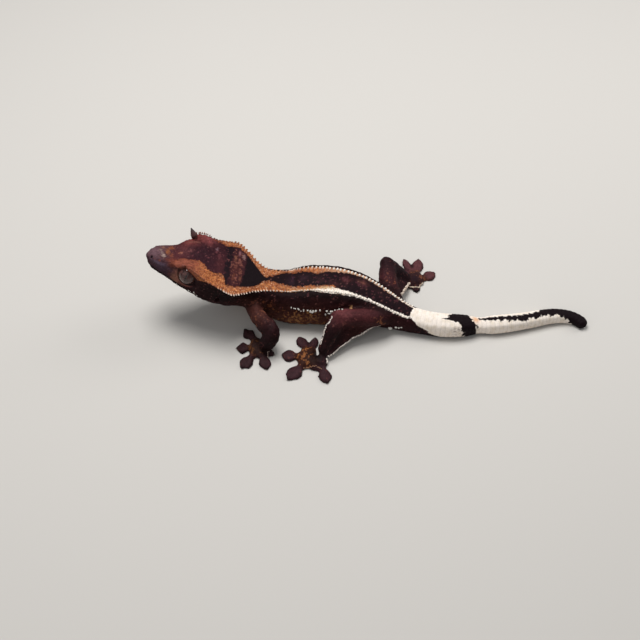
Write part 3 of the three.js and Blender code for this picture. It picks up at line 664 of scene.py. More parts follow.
def eye_frame(hand):
    """The eye's centre, the way it looks, its own upward direction and its forward direction."""
    along, side, up = EYE_AT
    _, back, side_way, up_way = (v[0] for v in frame_at(along))
    centre = on_body(along, hand * side, up)[0]
    look = unit(back * EYE_LOOKS[0] + side_way * hand * EYE_LOOKS[1] + up_way * EYE_LOOKS[2])
    rise = unit(up_way - look * (up_way @ look))
    return centre, look, rise, np.cross(look, rise)


def from_eye(points, hand):
    """How far each point is from the eye's centre, and at what angle from the way it looks."""
    centre, look, rise, _ = eye_frame(hand)
    off = points - centre
    far = np.maximum(np.linalg.norm(off, axis=1), 1e-6)
    return far, np.arccos(np.clip((off @ look) / far, -1, 1)), (off @ rise) / far


def round_the_eyes(points):
    """Inside the opening the skin sinks behind the eye; at its edge it stands up in a thin rim; beyond,
    it clears it."""
    points = points.copy()
    for hand in (-1, 1):
        centre = eye_frame(hand)[0]
        far, angle, height = from_eye(points, hand)
        opening = EYE_OPENING - 0.10 * np.maximum(height, 0)
        behind = ramp(opening + 0.02, opening - 0.10, angle)
        rim = hump(angle, opening + 0.13, 0.13)
        wanted = np.where(
            angle < opening + 0.02, EYE_RADIUS + 0.28 - behind, np.maximum(far, EYE_RADIUS + 0.12))
        wanted = wanted + rim * np.clip(EYE_RADIUS + 0.42 - wanted, 0, 0.6)
        moved = centre + (points - centre) / far[:, None] * wanted[:, None]
        use = (far < EYE_RADIUS + 1.6) & (angle < opening + 0.55)
        share = ramp(opening + 0.55, opening + 0.30, angle)[:, None]
        points[use] = (points * (1 - share) + moved * share)[use]
    return points


def sculpted(points, faces):
    """Fine forms of the head, trunk and tail, each a height along the skin's normal in millimetres."""
    along, side, up = body_coordinates(points)
    turn = turn_of(along, side, up)
    girth = np.abs(turn)
    on_head = ramp(HEAD_END + 3, HEAD_END - 3, along) * (points[:, 2] > HEAD_FLOOR)
    height = np.zeros(len(points))

    from_mouth = up - one_row(MOUTH_LINE, along)
    mouth = on_head * ramp(1.3, 1.6, girth) * ramp(MOUTH_CORNER + 0.8, MOUTH_CORNER - 0.4, along)
    height -= mouth * 0.34 * hump(from_mouth, 0, 0.20)
    height += mouth * 0.16 * (hump(from_mouth, 0.62, 0.42) + hump(from_mouth, -0.62, 0.42))
    lip_joint = np.abs(np.mod(along / LIP_SCALE_WIDTH, 1) - 0.5) * LIP_SCALE_WIDTH
    height -= mouth * 0.09 * hump(lip_joint, 0, 0.13) * ramp(1.25, 0.95, np.abs(from_mouth))
    height -= mouth * 0.07 * hump(np.abs(from_mouth), 1.22, 0.14)

    for hand in (-1, 1):
        nostril = on_body(NOSTRIL_AT[0], hand * NOSTRIL_AT[1], NOSTRIL_AT[2])[0]
        off = np.linalg.norm(points - nostril, axis=1)
        height += on_head * (0.16 * hump(off, 0.85, 0.33) - 0.55 * hump(off, 0, 0.42))
        ear = on_body(EAR_AT[0], hand * EAR_AT[1], EAR_AT[2])[0]
        _, back, _, up_way = (v[0] for v in frame_at(EAR_AT[0]))
        wide, tall = (points - ear) @ back, (points - ear) @ up_way
        off = np.sqrt((wide / 0.62) ** 2 + (tall / 1.0) ** 2 + ((side - hand * EAR_AT[1]) / 2.5) ** 2)
        height += on_head * (0.14 * hump(off, 1.45, 0.4) - 0.75 * ramp(1.15, 0.55, off))

    # distance from the snout, its reach, turn, its reach, height:
    # jaw muscle, neck hollow, snout edge, snout side, hollow of the crown
    for middle, reach, round_at, width, rise in (
            (20.5, 3.2, 1.95, 0.35, 0.45), (25.5, 1.2, 2.1, 0.5, -0.30), (6.5, 4.0, 1.0, 0.12, 0.22),
            (8.5, 3.0, 1.5, 0.2, -0.25), (26.0, 5.0, 0.55, 0.25, -0.18)):
        height += on_head * rise * hump(along, middle, reach) * hump(girth, round_at, width)

    folds = ramp(33, 36, along) * ramp(46, 42, along) * ramp(1.2, 1.8, girth)
    height += folds * 0.13 * np.sin(along * 2.6 + 1.2 * np.sin(turn * 2.0))
    flank = ramp(44, 50, along) * ramp(84, 76, along) * ramp(1.1, 1.5, girth) * ramp(3.2, 2.6, girth)
    height += flank * 0.10 * ripple(points * [1.0, 0.5, 0.5], 4.0, 3)
    height += 0.05 * ripple(points, 1.6, 4) * ramp(88, 84, along)

    whorl = ramp(87.5, 89.5, along) * ramp(TAIL_TIP, TAIL_TIP - 3, along)
    height += whorl * 0.035 * np.cos(along * 2 * np.pi / WHORL_LENGTH) * ramp(3.3, 2.9, girth)
    moved = points + normals_of(points, faces) * height[:, None]
    moved[:, 2] = np.maximum(moved[:, 2], 0)
    return moved


# Markings, as millimetres inside (above 0) or outside (below 0) each mark's edge

# The inner edge of the pale band beside the crest, as turn by distance: left side, then right side
BAND_INNER_LEFT = [
    [0, 1.15], [7, 1.1], [8.5, 0.8], [9.6, 0.4], [10.8, 0.22], [13, 0.18], [15, 0.17], [16.3, 0.16],
    [17.7, 0.28], [18.8, 0.43], [20.2, 0.5], [23.7, 0.46], [24.4, 0.57], [24.9, 0.75], [26.1, 0.71],
    [29.6, 0.7], [34.1, 0.71], [35.5, 0.56], [36.9, 0.28], [38.4, 0.15], [40.2, 0.21], [42.3, 0.31],
    [44.9, 0.38], [49.7, 0.53], [55.3, 0.59], [60.9, 0.57], [62.3, 0.73], [66.4, 0.82], [70, 0.88],
    [80, 0.9], [90, 0.86],
]
BAND_INNER_RIGHT = [
    [0, 1.15], [17, 1.12], [18.4, 0.96], [20.3, 0.88], [21.7, 0.86], [23.1, 0.8], [25.1, 0.77],
    [28.4, 0.79], [30, 0.76], [31.5, 0.7], [33.4, 0.6], [34.9, 0.46], [36, 0.22], [37.4, 0.04],
    [38.6, 0.33], [40.5, 0.57], [43.3, 0.86], [46.3, 0.8], [51.4, 0.72], [53.5, 0.67], [55.6, 0.4],
    [56.8, 0.49], [58.5, 0.62], [62.6, 0.78], [66, 0.86], [72, 0.9], [80, 0.9], [90, 0.86],
]
# The outer edge of the same band, below the crest
BAND_OUTER = [
    [0, 1.15], [8, 1.15], [11, 1.45], [15, 1.55], [17.2, 1.45], [19, 1.27], [21, 1.14], [23, 1.1],
    [26, 1.06], [60, 1.07], [90, 1.1],
]
# The row of crest scales on the left leaves the ridge for a stretch behind the neck: its turn by distance
CREST_ROW_LEFT = [[36, 1.0], [40, 0.95], [42, 0.88], [46, 0.8], [50, 0.83], [55, 0.93], [60, 1.0]]
# Where the band turns to cream, as turn by distance: left side, then right side
CREAM_FROM_LEFT = [
    [0, 2.0], [30, 2.0], [44, 1.02], [50, 0.97], [55, 0.88], [60, 0.8], [61.5, 0.72], [64, 0.6],
    [90, 0.5],
]
CREAM_FROM_RIGHT = [[0, 2.0], [64, 2.0], [72, 1.02], [78, 0.95], [90, 0.8]]

TAIL_START = [
    [-4, 93.6], [-1.95, 93.4], [-1.7, 90.4], [-1.32, 88.7], [-0.73, 86.9], [-0.1, 86.6], [0.8, 87.2],
    [1.3, 88.5], [1.7, 90.4], [1.95, 93.4], [4, 93.6],
]
# Below this girth the tail shows black-brown: partly its own dark underside, partly painted shadow where it
# meets the floor.
TAIL_UNDERSIDE = [[86, 1.3], [90.4, 1.7], [93.4, 2.1], [97, 2.5], [150, 2.6]]
PATCH_FRONT = [
    [-4, 104], [-1.9, 103.6], [-1.63, 103.0], [-1.18, 102.6], [-0.74, 101.9], [-0.51, 101.0],
    [-0.3, 99.7], [-0.2, 97.4], [-0.08, 97.0], [0.02, 98.8], [0.4, 98.9], [0.8, 99.4], [1.3, 99.9],
    [1.9, 101.2], [4, 102],
]
# On the lower side (turn below -1.6) the patch reaches further back: partly the black patch itself, partly
# painted shadow under the tail's narrow neck.
PATCH_REAR = [
    [-4, 108.6], [-1.9, 108.0], [-1.63, 107.9], [-1.11, 108.2], [-0.6, 107.3], [-0.29, 106.8],
    [0.41, 106.4], [0.96, 106.2], [1.9, 106.4], [4, 106.5],
]
STRIPE_LEFT = [
    [109.4, 0.3], [110.3, 0.1], [111.8, -0.36], [113.6, -0.2], [114.8, -0.62], [117.1, -0.32],
    [119.2, -0.78], [120.9, -0.62], [122.6, -1.15], [124.8, -0.98], [127.4, -1.1], [129.4, -0.7],
    [130.6, -0.62], [132.6, -1.12], [134.2, -0.7], [136.2, -1.15], [138.4, -1.7], [140.5, -2.4],
    [143, -3.0], [150, -3.4],
]
STRIPE_RIGHT = [
    [109.4, 0.8], [111, 0.78], [114.3, 0.6], [119, 0.46], [122.4, 0.44], [126, 0.62], [128.6, 0.75],
    [130.5, 1.3], [133, 2.1], [138, 3.2], [150, 3.6],
]


def cream_from(along, turn):
    """The turn beyond which the band is cream, on the side that the turn's sign gives."""
    return np.where(turn < 0, straight_rows(CREAM_FROM_LEFT, along), straight_rows(CREAM_FROM_RIGHT, along))


def off_trunk(along, side, up, turn):
    """How far a point lies outside the trunk's own skin, less a small allowance: above 0 on limbs and
    feet."""
    skin_side, skin_up = half_section(along, np.abs(turn))
    return np.hypot(side, up) - np.hypot(skin_side, skin_up) - 0.9


def markings(points):
    """The edges of every mark at each point of the skin, with the point's own body measures."""
    along, side, up = body_coordinates(points)
    turn = turn_of(along, side, up)
    girth = np.abs(turn)
    scale = mm_per_turn(along, turn)
    limb = ramp(0.0, 1.2, off_trunk(along, side, up, turn))

    inner = np.where(turn < 0, one_row(BAND_INNER_LEFT, along), one_row(BAND_INNER_RIGHT, along))
    crest_row = np.where(turn < 0, straight_rows(CREST_ROW_LEFT, along), 1.0)
    outer = one_row(BAND_OUTER, along) * crest_row
    band = np.minimum.reduce([(girth - inner) * scale, (outer - girth) * scale, 86.5 - along])
    cream_edge = np.maximum(cream_from(along, turn), inner)
    crest_edge = crest_row * (1.09 - 0.05 * ramp(60, 66, along))
    cream_crest = np.minimum.reduce([
        (girth - cream_edge) * scale, (crest_edge - girth) * scale, 88.5 - along,
    ])
    underside = (straight_rows(TAIL_UNDERSIDE, along) - girth) * scale
    cream = np.maximum(cream_crest, np.minimum(along - straight_rows(TAIL_START, turn), underside))

    patch = np.minimum(along - straight_rows(PATCH_FRONT, turn), straight_rows(PATCH_REAR, turn) - along)
    stripe = np.minimum.reduce([
        (turn - straight_rows(STRIPE_LEFT, along)) * scale,
        (straight_rows(STRIPE_RIGHT, along) - turn) * scale,
        along - 109.3,
    ])
    teeth = 0.28 * np.sin(along * 2 * np.pi / TAIL_TEETH_LENGTH + 1.5 * ripple(points, 4.0, 40))
    teeth = (teeth + 0.3 * ripple(points, 1.5, 41)) * ramp(90, 96, along)
    inside_band = (inner - girth) * scale
    triangle = np.minimum.reduce([along - 30.5 - 1.4 * np.minimum(turn, 0), inside_band, 38 - along])
    bar = 0.85 + 0.35 * turn - np.abs(along - 24.75 - 0.25 * turn**2)
    bar = np.minimum(bar, inside_band + 0.3)
    return {
        "along": along, "turn": turn, "girth": girth, "limb": limb, "bar": bar,
        "band": band - 3 * limb, "cream": cream - 3 * limb,
        "dark": np.maximum(np.maximum(patch, stripe) + teeth, triangle) - 3 * limb,
    }


# Colours, as sRGB hex

def linear(colour):
    """An sRGB hex colour as linear light, with full opacity."""
    value = np.array([int(colour[i:i + 2], 16) for i in (1, 3, 5)]) / 255
    value = np.where(value <= 0.04045, value / 12.92, ((value + 0.055) / 1.055) ** 2.4)
    return (*value.tolist(), 1.0)


def mixed(base, colour, share):
    """The base colours with so much of another over them."""
    return base * (1 - share[:, None]) + np.array(linear(colour)[:3]) * share[:, None]


BLACK_BROWN = "#1a0b10"
CROWN_PURPLE = "#33171d"
FLANK_BROWN = "#2b1113"
LIMB_BROWN = "#2c1518"
BELLY_TAN = "#a5866a"
ORANGE_LIGHT = "#c47c48"
ORANGE_DARK = "#8e4c2c"
CREAM = "#f2e6da"

# Soft patches: distance from the snout, its reach, turn, its reach, colour, share. On top by signed turn.
TOP_PATCHES = [
    [1.5, 4.2, 0.0, 1.3, "#664c52", 0.95],
    [9.0, 3.4, 0.0, 1.0, "#4c2326", 0.9],
    [4.2, 2.2, 0.9, 0.6, "#5a3a3c", 0.7],
    [8.2, 2.2, -0.85, 0.4, "#6c3628", 0.9],
    [11.2, 1.6, 0.5, 0.5, "#5c3032", 0.7],
    [17.0, 4.5, 0.25, 0.6, "#2c131b", 0.85],
    [12.6, 2.2, 0.85, 0.25, "#843f3c", 0.9],
    [17.0, 2.5, 0.88, 0.2, "#8c4848", 0.85],
    [22.4, 1.5, -0.1, 0.35, "#4c2426", 0.6],
    [27.6, 2.1, -0.1, 0.62, "#42201f", 0.95],
    [64.6, 1.3, 0.12, 0.3, "#4c2424", 0.8],
    [69.5, 1.5, 0.35, 0.3, "#55302c", 0.8],
    [61.2, 1.4, -0.39, 0.25, "#3c1e20", 0.7],
    [52.1, 1.2, 0.13, 0.25, "#362028", 0.7],
    [46.0, 2.0, 0.1, 0.35, "#301a24", 0.8],
    [56.9, 1.1, -0.14, 0.25, "#3a2022", 0.6],
    [75.2, 1.6, 0.21, 0.3, "#301a1c", 0.6],
]
# Small spots with a ragged but clear edge, in the same order
TOP_SPOTS = [
    [3.6, 0.7, 0.25, 0.2, "#8a7468", 0.6],
    [4.9, 0.8, -0.42, 0.22, "#a08a80", 0.7],
    [4.3, 0.6, -0.1, 0.2, "#8c7670", 0.6],
    [4.4, 0.6, 0.75, 0.25, "#7e5a4a", 0.6],
    [6.0, 0.9, 0.1, 0.34, "#8c5434", 0.8],
    [6.9, 1.0, 0.7, 0.3, "#7c442c", 0.75],
    [5.6, 0.7, 0.5, 0.25, "#744430", 0.6],
    [7.3, 0.7, -0.2, 0.2, "#7c4430", 0.6],
    [9.9, 0.8, 0.2, 0.1, "#8c5644", 0.7],
    [12.4, 0.8, 0.3, 0.08, "#6c3c3c", 0.7],
    [20.5, 0.55, 0.55, 0.09, "#7a5a60", 0.8],
    [21.6, 0.7, 0.3, 0.1, "#5c3034", 0.6],
    [29.5, 0.7, 0.55, 0.13, "#80605c", 0.85],
    [26.8, 0.6, 0.35, 0.12, "#8a5a44", 0.45],
    [28.3, 0.6, 0.26, 0.12, "#7e4c42", 0.4],
    [27.2, 0.65, 0.02, 0.13, "#744438", 0.4],
    [28.8, 0.6, -0.13, 0.13, "#764436", 0.4],
    [29.2, 0.55, -0.4, 0.13, "#7c4c38", 0.5],
    [27.0, 0.6, -0.36, 0.14, "#74402e", 0.45],
    [28.0, 0.5, 0.6, 0.1, "#84585a", 0.7],
    [64.6, 0.7, 0.12, 0.14, "#5c3438", 0.7],
    [69.5, 0.8, 0.35, 0.15, "#6c4038", 0.7],
    [63.7, 0.5, 0.24, 0.1, "#583038", 0.7],
    [61.6, 0.5, -0.3, 0.1, "#52302e", 0.6],
    [47.0, 0.6, 0.3, 0.12, "#42283a", 0.6],
]
# On both sides alike
SIDE_PATCHES = [
    [5.0, 4.2, 1.65, 0.5, "#45333f", 0.95],
    # The second patch is a painted highlight: a thin pale bluish-grey line along the upper side of the snout.
    [4.6, 2.8, 1.42, 0.16, "#66586a", 0.7],
    [8.6, 1.8, 1.25, 0.3, "#4e2822", 0.9],
    [10.4, 1.6, 1.82, 0.24, "#a5705c", 0.9],
    [15.2, 3.0, 1.05, 0.3, "#7c3f2e", 0.85],
    [6.0, 8.0, 2.7, 0.75, "#1c1016", 0.95],
    [17.0, 4.0, 2.5, 0.5, "#150b0d", 0.9],
    [28.0, 12.0, 1.6, 0.62, "#100708", 1.0],
    [15.8, 1.6, 1.8, 0.3, "#2b1216", 0.8],
    [34.0, 4.5, 2.1, 0.35, "#331a15", 0.75],
    [40.0, 4.0, 2.0, 0.3, "#361b16", 0.7],
    [60.0, 30.0, 1.2, 0.28, "#140809", 1.0],
    [54.0, 12.0, 1.62, 0.14, "#28100f", 0.8],
    [51.0, 11.0, 2.2, 0.4, "#5a3026", 0.92],
]
# Flecks over the ground: distance, its reach, girth, its reach, colour, amount from 0 to 1
FLECKS = [
    [18.0, 8.0, 0.4, 0.8, "#502a2e", 0.16],
    [27.6, 2.2, 0.3, 0.6, "#74453a", 0.36],
    [40.5, 5.0, 1.95, 0.3, "#6a3a26", 0.34],
    [47.5, 2.6, 1.98, 0.24, "#9a6440", 0.46],
    [54.0, 4.5, 2.05, 0.24, "#b5844e", 0.55],
    [60.0, 1.8, 2.05, 0.16, "#c0986a", 0.6],
    [52.0, 8.0, 2.4, 0.4, "#9a6a42", 0.46],
    [66.0, 24.0, 0.0, 0.7, "#442228", 0.25],
    [70.0, 14.0, 1.9, 0.5, "#3c1c18", 0.2],
    [68.2, 0.7, 1.55, 0.09, "#96704c", 0.62],
]
# Patches on the legs: x, y, z, reach, colour, share
LEG_PATCHES = [
    [-20.0, -9.5, 10.5, 4.5, "#40221d", 0.8],
    [-18.0, -12.5, 10.0, 3.4, "#4e2c25", 0.7],
    [-15.2, -16.8, 5.6, 4.2, "#120a0b", 0.97],
    [-15.8, -18.2, 2.8, 3.0, "#180d0e", 0.9],
    [14.0, -12.5, 10.6, 5.0, "#52282a", 0.85],
    [11.0, -14.6, 8.6, 3.6, "#1e0e11", 0.7],
    [4.0, -16.0, 6.5, 5.2, "#110809", 0.97],
    [13.0, -16.0, 4.0, 4.5, "#2d1410", 0.8],
    [-0.2, -22.0, 2.3, 3.4, "#150b0c", 0.95],
    [21.0, 4.0, 9.0, 4.0, "#452024", 0.85],
    [23.0, 10.5, 9.5, 4.0, "#241116", 0.85],
    [27.0, 10.0, 6.0, 4.4, "#190e12", 0.9],
    [32.0, 11.0, 2.4, 2.4, "#22121a", 0.9],
    [7.2, -11.9, 10.9, 3.6, "#6c393b", 0.85],
    # Painted shade: the last patch darkens the right hind foot's fifth digit, tucked under the foot, to
    # near-black.
    [32.6, 6.8, 0.8, 2.2, "#170c0f", 0.95],
]
LEG_FLECKS = [
    [19.8, -12.0, 6.8, 2.4, "#74462f", 0.36],
    [22.6, 2.4, 9.6, 2.4, "#74402e", 0.48],
    [9.5, -14.2, 10.4, 3.0, "#6a3c38", 0.25],
    [-18.6, -12.4, 9.8, 3.2, "#6a3f2e", 0.34],
]
FLECK_SPREAD = 0.36
# Each foot's toes, its palm, and the flecks of its palm
FOOT_COLOURS = {
    "left_fore": ("#341f21", "#331e1a", "#58361f"),
    "right_fore": ("#341f21", "#3a2318", "#6a4428"),
    "left_hind": ("#3a2226", "#3c2119", "#84522f"),
    "right_hind": ("#583336", "#3c2320", "#6c402e"),
}
PAD_EDGE = "#1d1012"


def ground_colours(points, marks):
    """The colour under the marks, and the colour and the threshold shift of the flecks over it."""
    wobble = ripple(points, 1.7, 8)
    along = marks["along"] + 0.35 * wobble
    turn = marks["turn"] + 0.05 * ripple(points, 2.1, 9)
    girth, trunk = np.abs(turn), 1 - marks["limb"]
    ground = np.tile(linear(FLANK_BROWN)[:3], (len(points), 1))
    ground = mixed(ground, CROWN_PURPLE, ramp(34, 30, along) * ramp(1.4, 1.1, girth))
    ground = mixed(ground, BLACK_BROWN, ramp(33, 36, along) * ramp(1.1, 0.95, girth))
    # The tail's lower sides are black-brown: partly its own dark underside, partly painted shadow along the
    # floor.
    ground = mixed(ground, BLACK_BROWN, ramp(86, 92, along) * ramp(1.5, 1.8, girth))
    for rows, around in ((SIDE_PATCHES, girth), (TOP_PATCHES, turn)):
        for middle, reach, at, width, colour, share in rows:
            ground = mixed(ground, colour, share * hump(along, middle, reach) * hump(around, at, width))
    grain = 0.26 * ripple(points, 0.7, 10)
    for middle, reach, at, width, colour, share in TOP_SPOTS:
        near = hump(marks["along"], middle, reach) * hump(marks["turn"], at, width)
        ground = mixed(ground, colour, share * ramp(0.36, 0.7, near + grain))
    ground = mixed(ground, "#1a0d13", 0.95 * ramp(-0.5, 0.4, marks["bar"] + 0.4 * wobble))
    ground = mixed(ground, BELLY_TAN, ramp(2.7, 3.1, girth) * ramp(20, 40, along) * ramp(90, 84, along))

    fleck = np.tile(linear("#4a282a")[:3], (len(points), 1))
    amount = np.full(len(points), 0.05)
    for middle, reach, at, width, colour, share in FLECKS:
        near = hump(marks["along"], middle, reach) * hump(marks["girth"], at, width)
        fleck = mixed(fleck, colour, np.clip(near * 1.6, 0, 1))
        amount = np.maximum(amount, share * near)

    leg_ground = np.tile(linear(LIMB_BROWN)[:3], (len(points), 1))
    leg_fleck, leg_amount = np.tile(linear("#4e2c2a")[:3], (len(points), 1)), np.full(len(points), 0.15)
    for name, form in FEET.items():
        x, y, radius, _ = form["palm"]
        off = np.hypot(points[:, 0] - x, points[:, 1] - y)
        foot = ramp(3.2, 2.4, points[:, 2]) * ramp(radius + 9.5, radius + 8.0, off)
        palm = foot * ramp(radius + 1.4, radius - 0.4, off)
        toe_colour, palm_colour, palm_fleck = FOOT_COLOURS[name]
        leg_ground = mixed(leg_ground, toe_colour, foot)
        leg_ground = mixed(leg_ground, palm_colour, palm)
        leg_fleck = mixed(leg_fleck, palm_fleck, palm)
        leg_amount = leg_amount * (1 - foot) + 0.06 * foot + 0.34 * palm
        for digit in form["digits"]:
            root, tip = np.array(digit[:2]), np.array(digit[2:4])
            at = points[:, :2] - root
            share = np.clip(at @ (tip - root) / ((tip - root) @ (tip - root)), 0, 1)
            across = np.linalg.norm(at - share[:, None] * (tip - root), axis=1)
            on_pad = foot * ramp(0.35, 0.5, share) * (across < digit[4] + 0.8)
            edge = np.maximum(ramp(0.55, 0.95, across / digit[4]), ramp(0.86, 1.0, share))
            darker = on_pad * np.maximum(0.6 * edge, 0.35 * hump(across, 0, 0.22))
            leg_ground = mixed(leg_ground, PAD_EDGE, darker)
    for *centre, reach, colour, share in LEG_PATCHES:
        near = hump(np.linalg.norm(points - centre, axis=1) + 0.5 * wobble, 0, reach)
        leg_ground = mixed(leg_ground, colour, share * near)
        leg_amount = leg_amount * (1 - 0.8 * share * near)
    for *centre, reach, colour, share in LEG_FLECKS:
        near = hump(np.linalg.norm(points - centre, axis=1), 0, reach)
        leg_fleck = mixed(leg_fleck, colour, np.clip(near * 1.8, 0, 1))
        leg_amount = np.maximum(leg_amount, share * near)
    share = marks["limb"]
    ground = ground * trunk[:, None] + leg_ground * share[:, None]
    fleck = fleck * trunk[:, None] + leg_fleck * share[:, None]
    amount = amount * trunk + leg_amount * share
    return ground, fleck, (np.clip(amount, 0, 1) - 0.5) * FLECK_SPREAD


def band_colours(along, turn, chance):
    """The band's own colour: red-brown over the brows, orange on the crown and neck, buff and then cream
    behind, and darker towards its inner edge."""
    inner = np.where(turn < 0, one_row(BAND_INNER_LEFT, along), one_row(BAND_INNER_RIGHT, along))
    from_edge = (np.abs(turn) - inner) * mm_per_turn(along, turn)
    colour = np.tile(linear(ORANGE_DARK)[:3], (len(along), 1))
    colour = mixed(colour, ORANGE_LIGHT, ramp(0.1, 0.9, chance))
    colour = mixed(colour, "#7c4439", 0.9 * ramp(20, 12.5, along))
    colour = mixed(colour, "#7c4033", ramp(25, 19, along) * (turn > 0))
    colour = mixed(colour, "#6c3622", 0.55 * ramp(1.1, 0.1, from_edge))
    colour = mixed(colour, "#d0a06a", ramp(40, 52, along) * 0.5 * (turn < 0) * ramp(0.4, 1.2, from_edge))
    colour = mixed(colour, "#cba283", 0.7 * ramp(54, 66, along) * (turn > 0))
    colour = mixed(colour, "#e2c49c", ramp(54, 62, along) * (turn < 0) * ramp(0.2, 0.8, from_edge))
    return mixed(colour, CREAM, ramp(62, 66, along) * (turn < 0))


# Pieces

def finished(name, mesh, material):
    """A mesh as a piece of the part: its material and the one body that it rides on."""
    mesh.materials.append(material)
    mesh.polygons.foreach_set("use_smooth", np.ones(len(mesh.polygons), dtype=bool))
    piece = bpy.data.objects.new(name, mesh)
    bpy.context.scene.collection.objects.link(piece)
    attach(piece, "root")
    return piece


def put_values(mesh, name, values):
    """One number or one colour for each point of the mesh."""
    if values.ndim == 1:
        store = mesh.attributes.new(name, "FLOAT", "POINT")
        store.data.foreach_set("value", values.astype(np.float32))
    else:
        store = mesh.attributes.new(name, "FLOAT_COLOR", "POINT")
        with_alpha = np.column_stack([values, np.ones(len(values))])
        store.data.foreach_set("color", with_alpha.astype(np.float32).ravel())


# A scale's rings from its sunk root to its tip: share of its height, share of its radius
CONE = np.array([[-0.35, 1.0], [0.0, 1.0], [0.3, 0.84], [0.6, 0.56], [0.85, 0.26], [0.97, 0.1]])
BEAD = np.array([[-0.5, 0.95], [0.0, 1.0], [0.35, 0.95], [0.65, 0.76], [0.87, 0.46], [0.97, 0.2]])


def scales(base, way, length, radius, bend, roundness, sides=8):
    """Many scales in one go: rings from root to tip between a cone's and a bead's by roundness, leaning
    over by the bend. Gives points, triangles, each point's level from root to tip, and its place within
    its own patch of a map."""
    profile = CONE + (BEAD - CONE) * np.reshape(roundness, (-1, 1, 1))
    profile = np.broadcast_to(profile, (len(base), *CONE.shape))
    rise, wide = profile[..., 0], profile[..., 1]
    way = unit(way)
    across = unit(np.cross(way, unit(bend) + [0.01, 0.02, 0.005]))
    through = np.cross(way, across)
    a = np.linspace(0, 2 * np.pi, sides + 1)[:-1]
    centre = base[:, None] + way[:, None] * (length[:, None] * rise)[..., None]
    centre = centre + bend[:, None] * (length[:, None] * np.maximum(rise, 0) ** 2)[..., None]
    ring = across[:, None] * np.cos(a)[None, :, None] + through[:, None] * np.sin(a)[None, :, None]
    rings = centre[:, :, None] + ring[:, None] * (radius[:, None] * wide)[:, :, None, None]
    count, levels = rings.shape[:2]
    tips = centre[:, -1] + way * (length * 0.04)[:, None]
    points = np.concatenate([rings.reshape(count, -1, 3), tips[:, None]], axis=1)
    i, j = np.meshgrid(np.arange(levels - 1), np.arange(sides), indexing="ij")
    low, low_next = i * sides + j, i * sides + (j + 1) % sides
    k = np.arange(sides)
    top = (levels - 1) * sides
    pattern = np.vstack([
        np.stack([low, low_next, low_next + sides], axis=-1).reshape(-1, 3),
        np.stack([low, low_next + sides, low + sides], axis=-1).reshape(-1, 3),
        np.stack([top + k, top + (k + 1) % sides, np.full(sides, levels * sides)], axis=1),
        np.stack([np.zeros(sides - 2, int), k[2:], k[1:-1]], axis=1),
    ])
    per = levels * sides + 1
    faces = (pattern[None] + (np.arange(count) * per)[:, None, None]).reshape(-1, 3)
    level = np.concatenate([np.repeat(np.linspace(0, 1, levels), sides), [1.0]])
    around = np.concatenate([np.tile(a, levels), [0.0]])
    local = (1 - level * 0.9)[:, None] * np.stack([np.cos(around), np.sin(around)], axis=1)
    return points.reshape(-1, 3), faces, np.tile(level, count), np.tile(local, (count, 1))


def scale_piece(name, made, root_colours, tip_colours, root_uv, material):
    """A piece of many scales: its colours go from root to tip, and its map for baked colours holds each
    scale as a patch 0.003 across at its root's place on the unwrapped skin."""
    points, faces, level, local = made
    per = len(points) // len(root_uv)
    mesh = mesh_of(name, points, faces)
    rise = ramp(0.25, 0.9, level)[:, None]
    root_tint, tip_tint = (np.repeat(colours, per, axis=0) for colours in (root_colours, tip_colours))
    put_values(mesh, "tint", root_tint * (1 - rise) + tip_tint * rise)
    layer = mesh.uv_layers.new(name="OFBake")
    patches = np.repeat(root_uv, per, axis=0) + local * BAKE_PATCH_RADIUS
    layer.data.foreach_set("uv", patches[faces.ravel()].astype(np.float32).ravel())
    return finished(name, mesh, material)


def unwrapped(along, turn):
    """The skin's own unwrap: distance from the snout one way, turn round the body the other."""
    return np.stack([0.03 + 0.94 * along / TAIL_TIP, 0.5 + turn * 0.11], axis=1)


def nearest_on(skin_points, places):
    """The index of the skin point nearest to each place."""
    return np.concatenate([
        np.argmin(((part[:, None] - skin_points[None]) ** 2).sum(2), axis=1)
        for part in np.array_split(places, max(len(places) // 40, 1))
    ])


CREST_LENGTH = [
    [16, 0.55], [21, 0.6], [24, 0.85], [30, 0.8], [42, 0.7], [50, 0.78], [58, 0.62], [87, 0.5],
]
CREST_RADIUS = [
    [16, 0.25], [24, 0.36], [42, 0.33], [48, 0.28], [54, 0.33], [58, 0.45], [70, 0.47], [87, 0.4],
]
LASH_AT = {-1.0: 11.2, 1.0: 12.3}
LASH_SIZE = {-1.0: 0.5, 1.0: 1.0}
LASH_LENGTH = 2.3
LASH_RADIUS = 1.0
BROW_SCALES = (12.9, 17.4, 0.62)


